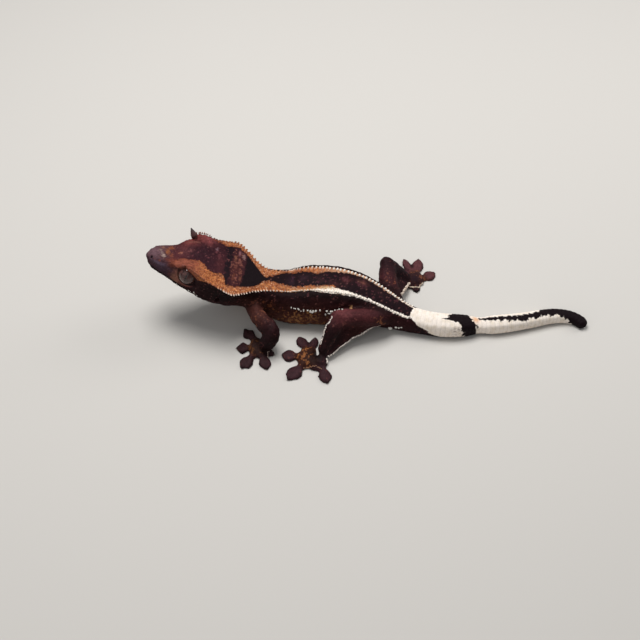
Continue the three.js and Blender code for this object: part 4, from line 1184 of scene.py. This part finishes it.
def make_crest_scales(skin_points, material):
    """The fringe of pointed scales over the eyes, along the crown's edges and down both sides of the
    back, where they turn into rounded beads. The first over each eye is the broad lash; the far one is
    painted near-black, painted shade for the shadow it stands in."""
    draw = np.random.default_rng(11)
    brow = np.arange(*BROW_SCALES)
    left_row = np.concatenate([
        np.arange(CREST_START, FINE_CREST_END, FINE_CREST_SPACING),
        np.arange(BEADED_CREST_START, CREST_END, CREST_SPACING),
    ])
    right_row = np.arange(CREST_START, CREST_END, CREST_SPACING)
    rows = []
    for hand, body in ((-1.0, left_row), (1.0, right_row)):
        body = body + draw.uniform(-0.1, 0.1, len(body))
        low = 1 - 0.7 * ramp(36, 29, body) * (hand > 0)
        slim = 1 - 0.18 * ramp(50, 58, body) * (hand > 0)
        lash_length, lash_radius = LASH_LENGTH * LASH_SIZE[hand], LASH_RADIUS * LASH_SIZE[hand]
        length = np.concatenate([[lash_length], np.full(len(brow), 0.5), one_row(CREST_LENGTH, body) * low])
        radius = np.concatenate([[lash_radius], np.full(len(brow), 0.22), one_row(CREST_RADIUS, body) * slim])
        along = np.concatenate([[LASH_AT[hand]], brow, body])
        rows.append(np.stack([along, length, radius, np.full(len(along), hand)], axis=1))
    along, length, radius, hand = np.vstack(rows).T
    lash = along < BROW_SCALES[0] - 0.5
    chance = draw.uniform(0, 1, len(along))
    length = length * np.where(lash, 1.0, 0.85 + 0.3 * chance)
    row = np.where(hand < 0, straight_rows(CREST_ROW_LEFT, along), 1.0)
    place = skin_point(along, hand * row)
    near = nearest_on(skin_points, place)
    _, back, side, up = frame_at(along)
    on_back, brow = ramp(30, 46, along)[:, None], ramp(18, 16.5, along)[:, None]
    outward = 0.95 - 0.35 * on_back - 0.2 * brow
    upward = 0.32 + 0.36 * on_back + 0.5 * brow
    way = side * hand[:, None] * outward + up * upward
    way = way + back * (0.1 - 0.85 * lash[:, None])
    bend = back * (0.3 - 0.4 * brow) * (1 - 0.8 * ramp(50, 60, along)[:, None])
    made = scales(skin_points[near] * 0.5 + place * 0.5, way, length, radius, bend, ramp(46, 60, along))
    root = mixed(band_colours(along, hand, chance), CREAM, ramp(46, 60, along))
    pale = ramp(22, 25, along) * np.where(hand < 0, 0.55 + 0.45 * chance, ramp(40, 46, along) + 0.25 * chance)
    tip = mixed(mixed(root, "#7c4230", ramp(25, 21, along)), "#fff7ea", np.clip(pale, 0, 1))
    # Painted shade: the lash over the far eye is coloured near-black for the shade it stands in; the near one
    # takes the orange-brown round it.
    far_lash_shade, near_lash = 1.0 * (lash & (hand > 0)), 1.0 * (lash & (hand < 0))
    root = mixed(mixed(root, "#4a2a28", far_lash_shade), "#84493c", near_lash)
    tip = mixed(mixed(tip, "#1c1113", far_lash_shade), "#84493c", near_lash)
    scale_piece("crest_scales", made, root, tip, unwrapped(along, hand * row), material)


def make_band_granules(skin_points, skin_normals, material):
    """Small round scales on the pale bands beside the crests: a grid of places, each shifted a little at
    random."""
    draw = np.random.default_rng(23)
    along, offset = np.meshgrid(
        np.arange(13, CREST_END, GRANULE_STEP), np.arange(-3.0, 6.5, GRANULE_STEP), indexing="ij")
    offset = offset + np.where(np.arange(along.shape[0])[:, None] % 2, GRANULE_STEP / 2, 0)
    along = along.ravel() + draw.uniform(-0.1, 0.1, along.size)
    offset = offset.ravel() + draw.uniform(-0.1, 0.1, offset.size)
    places = []
    for hand, rows in ((-1, BAND_INNER_LEFT), (1, BAND_INNER_RIGHT)):
        turn = 1 - offset / mm_per_turn(along, np.where(offset < 0, 1.5, 0.5))
        outer = one_row(BAND_OUTER, along) * np.where(hand < 0, straight_rows(CREST_ROW_LEFT, along), 1.0)
        keep = (turn > one_row(rows, along) + 0.02) & (turn < outer - 0.01) & (along < GRANULES_END)
        keep = keep & (ramp(13, 18, along) > draw.uniform(0, 1, len(along))) & ((hand < 0) | (along > 20))
        places.append(np.stack([along[keep], hand * turn[keep]], axis=1))
    along, turn = np.vstack(places).T
    near = nearest_on(skin_points, skin_point(along, turn))
    far = np.minimum(from_eye(skin_points[near], -1)[0], from_eye(skin_points[near], 1)[0])
    beside = far > EYE_RADIUS + BESIDE_EYE
    near, along, turn = near[beside], along[beside], turn[beside]
    height, radius = draw.uniform(0.12, 0.22, len(along)), draw.uniform(0.19, 0.26, len(along))
    straight = np.zeros((len(along), 3))
    made = scales(skin_points[near], skin_normals[near], height, radius, straight, 1.0, sides=6)
    chance = draw.uniform(0, 1, len(along))
    root = band_colours(along, turn, chance)
    cream = (np.abs(turn) - cream_from(along, turn)) * mm_per_turn(along, turn)
    share = ramp(-0.5, 0.4, cream + draw.uniform(-0.4, 0.4, len(along)))
    root = mixed(root, CREAM, share)
    tip = mixed(root, "#fff3de", (0.05 + 0.2 * (chance > 0.8)) * ramp(20, 28, along))
    scale_piece("band_granules", made, root, tip, unwrapped(along, turn), material)


# Single rows of white beads: on the flank, the knees' front edges, the folds' free edges and the feet
FLANK_BEADS = [
    [46.9, -1.67, 0.20], [48.3, -1.69, 0.22], [49.3, -1.72, 0.22], [50.3, -1.76, 0.20],
    [51.3, -1.78, 0.26], [52.3, -1.76, 0.26], [53.4, -1.79, 0.30], [54.1, -1.82, 0.32],
    [54.6, -1.78, 0.32], [55.3, -1.80, 0.30], [55.9, -1.75, 0.30], [56.7, -1.75, 0.24],
    [59.9, -1.76, 0.36], [61.3, -1.75, 0.38], [62.3, -1.74, 0.34], [63.0, -1.72, 0.32],
    [63.7, -1.70, 0.30], [64.8, -1.64, 0.24], [59.3, -1.90, 0.26], [60.3, -1.84, 0.28],
    [61.3, -1.81, 0.26],
]
# Larger single beads at the lips and beside the root of the tail
SINGLE_BEADS = [
    [82.5, -2.41, 0.72], [84.0, -2.19, 0.42], [84.8, -2.12, 0.36], [85.4, -2.04, 0.3],
    [11.2, -2.24, 0.24], [11.6, -2.30, 0.18], [13.1, -2.29, 0.24], [15.3, -2.06, 0.28],
    [15.8, -2.12, 0.20], [16.9, -1.99, 0.26], [17.2, -2.06, 0.20], [17.9, -2.00, 0.24],
    [18.5, -2.06, 0.18], [11.9, 2.25, 0.24], [13.6, 2.20, 0.24], [15.2, 2.08, 0.26], [17.1, 2.05, 0.24],
]
# Lines of beads as a path, the beads' radius and their colour
BEAD_LINES = [
    ([[4.8, -13.4, 10.9], [3.7, -14.7, 10.5], [2.5, -15.8, 9.2], [1.7, -17.7, 7.5],
      [0.8, -19.5, 5.3]], 0.24, "#f6e9de"),
    ([[19.6, -10.8, 4.0], [17.0, -12.4, 4.0], [14.6, -13.6, 3.9], [11.8, -15.4, 3.6], [9.0, -17.2, 3.2],
      [6.0, -19.6, 2.5], [3.2, -22.0, 1.7], [3.4, -23.4, 1.2]], 0.34, "#fbeee2"),
    ([[26.4, 0.4, 3.9], [27.9, 4.3, 3.2], [29.2, 7.2, 2.5], [29.9, 9.2, 1.8]], 0.62, "#e8d4c2"),
    ([[29.5, 9.1, 1.8], [30.0, 8.2, 1.2], [31.0, 8.2, 0.9], [32.1, 8.0, 0.7], [32.9, 8.0, 0.6],
      [33.7, 8.5, 0.6], [34.3, 9.5, 0.7], [35.2, 9.9, 0.8]], 0.24, "#e0cbb4"),
    ([[-4.9, -25.2, 0.5], [-2.8, -24.9, 0.6], [-0.9, -25.0, 1.2], [1.0, -26.0, 1.2]], 0.14, "#c09070"),
    ([[-15.2, -19.4, 1.4], [-15.7, -19.6, 1.3], [-15.9, -20.2, 1.1], [-15.6, -20.8, 0.9]], 0.15, "#c8b0a0"),
]
FLANK_BEADS_EACH = 2


def make_white_beads(skin_points, skin_normals, material):
    """Rows of small pale beads, each set on the nearest place of the skin."""
    draw = np.random.default_rng(31)
    flank = np.repeat(np.array(FLANK_BEADS), FLANK_BEADS_EACH, axis=0)
    flank[:, :2] += draw.uniform(-1, 1, (len(flank), 2)) * [0.3, 0.02]
    flank[:, 2] *= draw.uniform(0.8, 1.2, len(flank))
    dots = np.vstack([flank, np.array(SINGLE_BEADS)])
    places, sizes = [skin_point(dots[:, 0], dots[:, 1])], [dots[:, 2]]
    uv = [unwrapped(dots[:, 0], dots[:, 1])]
    colours = [np.tile(linear("#fffaf0")[:3], (len(dots), 1))]
    for row, (line, radius, colour) in enumerate(BEAD_LINES):
        count = int(curve_through(line, [0, 1])[2] / (radius * 1.45))
        share = np.linspace(0, 1, count)
        places.append(curve_through(line, share)[0])
        sizes.append(radius * draw.uniform(0.8, 1.2, count))
        uv.append(np.stack([0.05 + 0.9 * share, np.full(count, 0.02 + 0.01 * row)], axis=1))
        colours.append(np.tile(linear(colour)[:3], (count, 1)))
    radius, root_uv = np.concatenate(sizes), np.vstack(uv)
    near = nearest_on(skin_points, np.vstack(places))
    points, faces, level, local = scales(
        skin_points[near], skin_normals[near], radius * 0.9, radius, np.zeros((len(near), 3)), 1.0)
    points[:, 2] = np.maximum(points[:, 2], LOWEST_SCALE)
    colour = np.vstack(colours) * draw.uniform(0.72, 1.0, (len(near), 1))
    scale_piece("white_beads", (points, faces, level, local), colour, colour, root_uv, material)


def make_claws(material):
    """One small hooked claw at each digit's tip: a cone that bends down to the floor."""
    digits = np.array([d for form in FEET.values() for d in form["digits"]])
    ends = np.zeros((len(digits), 2, 3))
    ends[..., :2] = digits[:, :4].reshape(-1, 2, 2)
    way = unit(ends[:, 1] - ends[:, 0])
    down = np.tile([0, 0, -0.32], (len(digits), 1))
    root = ends[:, 1] - way * CLAW_SUNK + [0, 0, CLAW_HEIGHT]
    length, radius = np.full(len(digits), CLAW_LENGTH), np.full(len(digits), CLAW_RADIUS)
    points, faces, level, _ = scales(root, way + [0, 0, 0.05], length, radius, down, 0.0, sides=10)
    points[:, 2] = np.maximum(points[:, 2], LOWEST_SCALE)
    mesh = mesh_of("claws", points, faces)
    put_values(mesh, "level", level)
    finished("claws", mesh, material)


def make_eye(hand, name, material):
    """The eyeball: a ball whose clear front bulges a little, with each point's place in the eye's own
    directions."""
    centre, look, rise, ahead = eye_frame(hand)
    points, faces = ball_skin(centre, EYE_RADIUS, np.array([look, rise, ahead]), bulge=0.02)
    mesh = mesh_of(name, points, faces)
    off = (points - centre) / EYE_RADIUS
    put_values(mesh, "tall", off @ rise)
    put_values(mesh, "wide", off @ ahead)
    put_values(mesh, "front", off @ look)
    return finished(name, mesh, material)


# Materials

def new_material(name):
    """A material and its main shader."""
    material = bpy.data.materials.new(name)
    material.use_nodes = True
    return material, material.node_tree.nodes["Principled BSDF"]


def add(material, kind, inputs=None, out=0, **settings):
    """Adds a node with its settings, and gives each input, by name or number, a value or another node's
    output."""
    made = material.node_tree.nodes.new("ShaderNode" + kind)
    for key, value in settings.items():
        setattr(made, key, value)
    for key, value in (inputs or {}).items():
        if isinstance(value, bpy.types.NodeSocket):
            material.node_tree.links.new(value, made.inputs[key])
        else:
            made.inputs[key].default_value = value
    return made.outputs[out]


def gecko_skin():
    """Soft dry skin of fine granular scales: nearly matt, broken into grains of 0.42 mm that are each a
    little lighter or darker than the next, so that every mark has a ragged edge that follows the
    scales."""
    material, shader = new_material("gecko_skin")
    link = material.node_tree.links.new
    place = add(material, "TexCoord", out="Object")
    grains = add(
        material, "TexVoronoi", {"Vector": place, "Scale": 1 / (0.42 * MM), "Randomness": 0.85}, out="Distance")
    grain = add(material, "SeparateColor", {"Color": grains.node.outputs["Color"]})
    ragged = add(
        material, "TexNoise", {"Vector": place, "Scale": 1 / (1.1 * MM), "Detail": 3.0, "Roughness": 0.55})
    coarse = add(material, "TexNoise", {"Vector": place, "Scale": 1 / (2.6 * MM), "Detail": 2.0})
    number = {name: add(material, "Attribute", out="Fac", attribute_name=name)
              for name in ("fleck_shift", "band", "cream", "dark", "recess_shade", "along", "whorl")}
    tint = {name: add(material, "Attribute", out="Color", attribute_name=name)
            for name in ("ground", "fleck", "band_colour", "cream_colour")}

    edge = add(material, "Math", {0: ragged, 1: 1.5, 2: -0.975}, operation="MULTIPLY_ADD")
    edge = add(material, "Math", {0: grain, 1: 0.45, 2: edge}, operation="MULTIPLY_ADD")
    level = add(material, "Math", {0: ragged, 1: 0.75, 2: number["fleck_shift"]}, operation="MULTIPLY_ADD")
    level = add(material, "Math", {0: coarse, 1: 0.45, 2: level}, operation="MULTIPLY_ADD")
    level = add(material, "Math", {0: grain, 1: 0.12, 2: level}, operation="MULTIPLY_ADD")
    tone = add(material, "MapRange", {"Value": grain, "To Min": 0.78, "To Max": 1.18})
    toned = {name: add(material, "HueSaturation", {"Color": tint[name], "Value": tone})
             for name in ("ground", "fleck")}
    band_tone = add(material, "MapRange", {
        "Value": ragged, "From Min": 0.3, "From Max": 0.7, "To Min": 0.7, "To Max": 1.15})
    band_tone = add(material, "Math", {0: band_tone, 1: tone}, operation="MULTIPLY")
    band_tint = add(material, "HueSaturation", {"Color": tint["band_colour"], "Value": band_tone})
    ring = add(material, "Math", {0: number["along"], 1: 2 * np.pi / WHORL_LENGTH}, operation="MULTIPLY")
    ring = add(material, "Math", {0: ring}, operation="COSINE")
    # Painted shade: the cream is darkened in the groove between each pair of tail whorls.
    groove_shade = add(material, "MapRange", {
        "Value": ring, "From Min": -0.7, "From Max": -1.0, "To Min": 1.0, "To Max": 0.9})
    cream_tone = add(material, "MapRange", {"Value": grain, "To Min": 0.93, "To Max": 1.04})
    cream_tone = add(material, "Math", {0: cream_tone, 1: groove_shade}, operation="MULTIPLY")
    cream_tint = add(material, "HueSaturation", {"Color": tint["cream_colour"], "Value": cream_tone})
    layers = [
        (level, 0.0, 0.61, 0.71, toned["fleck"]),
        (number["band"], 1.0, -0.25, 0.25, band_tint),
        (number["cream"], 0.5, -0.12, 0.12, cream_tint),
        (number["dark"], 1.0, -0.18, 0.18, linear("#150b0f")),
        # painted shade in the nostrils, the eye sockets and the crease of the mouth
        (number["recess_shade"], 0.0, 0.0, 1.0, linear("#0b0607")),
    ]
    colour = toned["ground"]
    for value, raggedness, low, high, over in layers:
        value = add(material, "Math", {0: edge, 1: raggedness, 2: value}, operation="MULTIPLY_ADD")
        share = add(material, "MapRange", {"Value": value, "From Min": low, "From Max": high},
                    interpolation_type="SMOOTHSTEP")
        colour = add(material, "Mix", {0: share, 6: colour, 7: over}, out=2, data_type="RGBA")
    link(colour, shader.inputs["Base Color"])

    ring = add(material, "Math", {0: ring, 1: number["whorl"]}, operation="MULTIPLY")
    relief = add(material, "Math", {0: ring, 1: 0.2, 2: 1.0}, operation="MULTIPLY_ADD")
    relief = add(material, "Math", {0: relief, 1: grains}, operation="SUBTRACT")
    bump = add(material, "Bump", {"Height": relief, "Strength": 0.5, "Distance": 0.12 * MM})
    link(bump, shader.inputs["Normal"])
    roughness = add(material, "MapRange", {"Value": ragged, "To Min": 0.48, "To Max": 0.68})
    link(roughness, shader.inputs["Roughness"])
    shader.inputs["Specular IOR Level"].default_value = SKIN_GLOSS
    return material


def scale_keratin():
    """The larger scales and beads: smooth dry keratin with fine growth grain, a soft gloss at each
    tip."""
    material, shader = new_material("scale_keratin")
    place = add(material, "TexCoord", out="Object")
    fine = add(material, "TexNoise", {"Vector": place, "Scale": 1 / (0.25 * MM), "Detail": 3.0})
    tone = add(material, "MapRange", {
        "Value": fine, "From Min": 0.3, "From Max": 0.7, "To Min": 0.82, "To Max": 1.06})
    tint = add(material, "Attribute", out="Color", attribute_name="tint")
    colour = add(material, "HueSaturation", {"Color": tint, "Value": tone})
    bump = add(material, "Bump", {"Height": fine, "Strength": 0.3, "Distance": 0.04 * MM})
    material.node_tree.links.new(colour, shader.inputs["Base Color"])
    material.node_tree.links.new(bump, shader.inputs["Normal"])
    shader.inputs["Roughness"].default_value = 0.5
    shader.inputs["Specular IOR Level"].default_value = 0.3
    return material


def claw_horn():
    """Claw horn: dark, dense and a little glossy, paler at the point."""
    material, shader = new_material("claw_horn")
    level = add(material, "Attribute", out="Fac", attribute_name="level")
    share = add(material, "MapRange", {"Value": level, "From Min": 0.4, "From Max": 1.0},
                interpolation_type="SMOOTHSTEP")
    colour = add(material, "Mix", {0: share, 6: linear("#2a1b19"), 7: linear("#6f5a4c")}, out=2,
                 data_type="RGBA")
    place = add(material, "TexCoord", out="Object")
    fine = add(material, "TexNoise", {"Vector": place, "Scale": 1 / (0.2 * MM)})
    tone = add(material, "MapRange", {"Value": fine, "To Min": 0.75, "To Max": 1.15})
    material.node_tree.links.new(
        add(material, "HueSaturation", {"Color": colour, "Value": tone}), shader.inputs["Base Color"])
    shader.inputs["Roughness"].default_value = 0.35
    return material


def wet_eye():
    """The eye under its clear scale: a dark brown iris netted with darker veins, an upright slit pupil
    with scalloped edges, a dark rim, and the gloss of a wet surface over all."""
    material, shader = new_material("wet_eye")
    place = add(material, "TexCoord", out="Object")
    tall, wide, front = (
        add(material, "Attribute", out="Fac", attribute_name=name) for name in ("tall", "wide", "front"))
    lobes = add(material, "Math", {0: tall, 1: 26.0}, operation="MULTIPLY")
    lobes = add(material, "Math", {0: lobes}, operation="SINE")
    slit = add(material, "Math", {0: lobes, 1: 0.016, 2: 0.05}, operation="MULTIPLY_ADD")
    squared = add(material, "Math", {0: tall, 1: tall}, operation="MULTIPLY")
    slit = add(material, "Math", {0: squared, 1: -0.10, 2: slit}, operation="MULTIPLY_ADD")
    inside = add(material, "Math", {0: slit, 1: add(material, "Math", {0: wide}, operation="ABSOLUTE")},
                 operation="SUBTRACT")
    veins = add(
        material, "TexNoise", {"Vector": place, "Scale": 1 / (0.35 * MM), "Detail": 6.0, "Roughness": 0.7})
    cloud = add(material, "TexNoise", {"Vector": place, "Scale": 1 / (1.2 * MM), "Detail": 3.0})
    colour = linear("#3c211e")
    layers = [
        (cloud, 0.35, 0.65, "#583631"),
        (veins, 0.52, 0.66, "#1f100e"),
        (inside, -0.012, 0.012, "#060404"),
        (front, 0.52, 0.38, "#0e0808"),
    ]
    for value, low, high, over in layers:
        share = add(material, "MapRange", {"Value": value, "From Min": low, "From Max": high},
                    interpolation_type="SMOOTHSTEP")
        colour = add(material, "Mix", {0: share, 6: colour, 7: linear(over)}, out=2, data_type="RGBA")
    material.node_tree.links.new(colour, shader.inputs["Base Color"])
    shader.inputs["Roughness"].default_value = 0.4
    shader.inputs["Specular IOR Level"].default_value = 0.0
    shader.inputs["Coat Weight"].default_value = 1.0
    shader.inputs["Coat Roughness"].default_value = 0.03
    shader.inputs["Coat IOR"].default_value = 1.5
    return material


def studio_floor():
    """A plain pale sheet under the model."""
    material, shader = new_material("studio_floor")
    shader.inputs["Base Color"].default_value = linear("#cac6c0")
    shader.inputs["Roughness"].default_value = 0.9
    shader.inputs["Specular IOR Level"].default_value = 0.1
    return material


# Making the skin

parts = [trunk_skin()]
for side in ("left", "right"):
    parts += [limb_skin(ARMS[side], ARM_RADII), limb_skin(THIGHS[side], THIGH_RADII),
              limb_skin(SHANKS[side], SHANK_RADII), fold_skin(side), ball_skin(SHANKS[side][0], KNEE_RADIUS)]
for form in FEET.values():
    parts += foot_skins(form)
skin_points, skin_faces = with_finer_head(*joined_skin(parts))

crease = np.zeros(len(skin_points))
for side in ("left", "right"):
    for root in (ARMS[side][1], THIGHS[side][1]):
        crease = np.maximum(crease, ramp(6.5, 3.0, np.linalg.norm(skin_points - root, axis=1)))
    for line in (THIGHS[side], SHANKS[side]):
        path = curve_through(line, np.linspace(0.15, 1, 12))[0]
        crease = np.maximum(crease, 0.6 * ramp(4.0, 2.5, distance_to_line(skin_points, path)))
skin_points = evened(skin_points, skin_faces, 12, crease * ramp(1.5, 4.0, skin_points[:, 2]), [0.5])
above_floor = 0.35 + 0.65 * ramp(1.5, 3.5, skin_points[:, 2])
skin_points = evened(skin_points, skin_faces, 4, above_floor, [0.5, -0.52])
skin_points = round_the_eyes(sculpted(skin_points, skin_faces))
skin_points[:, 2] = np.maximum(skin_points[:, 2], 0)
skin_normals = normals_of(skin_points, skin_faces)

marks = markings(skin_points)
along, turn, girth = marks["along"], marks["turn"], marks["girth"]
ground, fleck, fleck_shift = ground_colours(skin_points, marks)
# Painted shade: the nostrils, the sunk skin inside each eye's opening and the crease of the mouth are darkened
# where shade falls in them.
recess_shade = np.zeros(len(skin_points))
for hand in (-1, 1):
    nostril = on_body(NOSTRIL_AT[0], hand * NOSTRIL_AT[1], NOSTRIL_AT[2])[0]
    recess_shade = np.maximum(recess_shade, ramp(0.62, 0.38, np.linalg.norm(skin_points - nostril, axis=1)))
    far, angle, _ = from_eye(skin_points, hand)
    at_eye = far < EYE_RADIUS + BESIDE_EYE
    recess_shade = np.maximum(recess_shade, SOCKET_SHADE * ramp(EYE_OPENING + 0.08, EYE_OPENING, angle) * at_eye)
    rim = hump(angle, EYE_OPENING + 0.16, 0.08) * at_eye
    ground = mixed(ground, "#74463f", 0.8 * rim)
    marks["band"] = marks["band"] - 2.0 * rim
from_mouth = np.abs(body_coordinates(skin_points)[2] - one_row(MOUTH_LINE, along))
at_mouth = (girth > 1.4) & (along < MOUTH_CORNER) & (skin_points[:, 2] > HEAD_FLOOR)
recess_shade = np.maximum(recess_shade, ramp(0.26, 0.12, from_mouth) * at_mouth)

cream_colour = np.tile(linear(CREAM)[:3], (len(skin_points), 1))
cream_colour = mixed(cream_colour, "#e2d2bc", 0.5 * ramp(-0.2, 0.9, ripple(skin_points, 2.4, 12)))
speckle = ramp(0.1, 0.8, ripple(skin_points, 0.9, 16)) * hump(along, 101.5, 1.6) * hump(turn, -1.75, 0.45)
cream_colour = mixed(cream_colour, "#6a4630", 0.75 * speckle)
cream_colour = mixed(cream_colour, "#dca274", 0.9 * hump(along, 107.9, 1.2) * hump(turn, 0.15, 0.8))

skin = mesh_of("skin", skin_points, skin_faces)
for name in ("band", "cream", "dark", "along"):
    put_values(skin, name, marks[name])
put_values(skin, "ground", ground)
put_values(skin, "fleck", fleck)
put_values(skin, "fleck_shift", fleck_shift)
put_values(skin, "band_colour", band_colours(along, turn, 0.5 + 0.5 * ripple(skin_points, 1.3, 14)))
put_values(skin, "cream_colour", cream_colour)
put_values(skin, "recess_shade", recess_shade)
put_values(skin, "whorl", ramp(87, 89, along))
skin_piece = finished("skin", skin, gecko_skin())
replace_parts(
    skin_piece, "head", "lower_jaw", "neck", "torso", "tail_base", "tail_middle", "tail_end",
    *[f"{side}_{part}" for side in ("left", "right")
      for part in ("upper_arm", "forearm", "forefoot", "thigh", "shank", "hind_foot")],
)

keratin = scale_keratin()
make_crest_scales(skin_points, keratin)
make_band_granules(skin_points, skin_normals, keratin)
make_white_beads(skin_points, skin_normals, keratin)
make_claws(claw_horn())
eye_finish = wet_eye()
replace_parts(make_eye(-1, "left_eyeball", eye_finish), "eye_left")
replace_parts(make_eye(1, "right_eyeball", eye_finish), "eye_right")

# Floor, light and camera

corners = np.array([[-1, -1, 0], [1, -1, 0], [1, 1, 0], [-1, 1, 0]]) * FLOOR_HALF - [0, 0, FLOOR_GAP]
floor_mesh = mesh_of("floor", corners, np.array([[0, 1, 2], [0, 2, 3]]))
floor_mesh.materials.append(studio_floor())
floor = bpy.data.objects.new("floor", floor_mesh)
bpy.context.scene.collection.objects.link(floor)


def look_along(way):
    """The rotation that turns -Z to the given way, with +Y upwards."""
    return Vector(way.tolist()).to_track_quat("-Z", "Y")


def area_light(name, place_mm, size_mm, power):
    """A soft square light that faces the model's middle."""
    light = bpy.data.lights.new(name, "AREA")
    light.size = size_mm * MM
    light.energy = power * LIGHT_LEVEL
    holder = bpy.data.objects.new(name, light)
    bpy.context.scene.collection.objects.link(holder)
    holder.location = (np.array(place_mm) * MM).tolist()
    holder.rotation_mode = "QUATERNION"
    holder.rotation_quaternion = look_along(-np.array(place_mm, float))


area_light("key", [-60, 130, 460], 240, 4.2)
area_light("fill", [-260, -320, 300], 700, 1.1)
area_light("rim", [320, 160, 240], 200, 0.9)

world = bpy.data.worlds.new("studio")
world.use_nodes = True
world.node_tree.nodes["Background"].inputs["Color"].default_value = linear("#e6e9ee")
world.node_tree.nodes["Background"].inputs["Strength"].default_value = 0.55 * LIGHT_LEVEL
bpy.context.scene.world = world
bpy.context.scene.view_settings.view_transform = "Standard"

camera_data = bpy.data.cameras.new("camera")
camera_data.sensor_width = SENSOR_WIDTH
camera_data.lens = SENSOR_WIDTH / 2 / np.tan(CAMERA_FIELD / 2)
camera_data.clip_start = 0.01
camera_data.clip_end = 20.0
camera = bpy.data.objects.new("camera", camera_data)
bpy.context.scene.collection.objects.link(camera)
toward_camera = np.array([0, -np.cos(CAMERA_ELEVATION), np.sin(CAMERA_ELEVATION)])
camera.location = ((CAMERA_TARGET + toward_camera * CAMERA_DISTANCE) * MM).tolist()
camera.rotation_mode = "QUATERNION"
camera.rotation_quaternion = look_along(-toward_camera)
bpy.context.scene.camera = camera
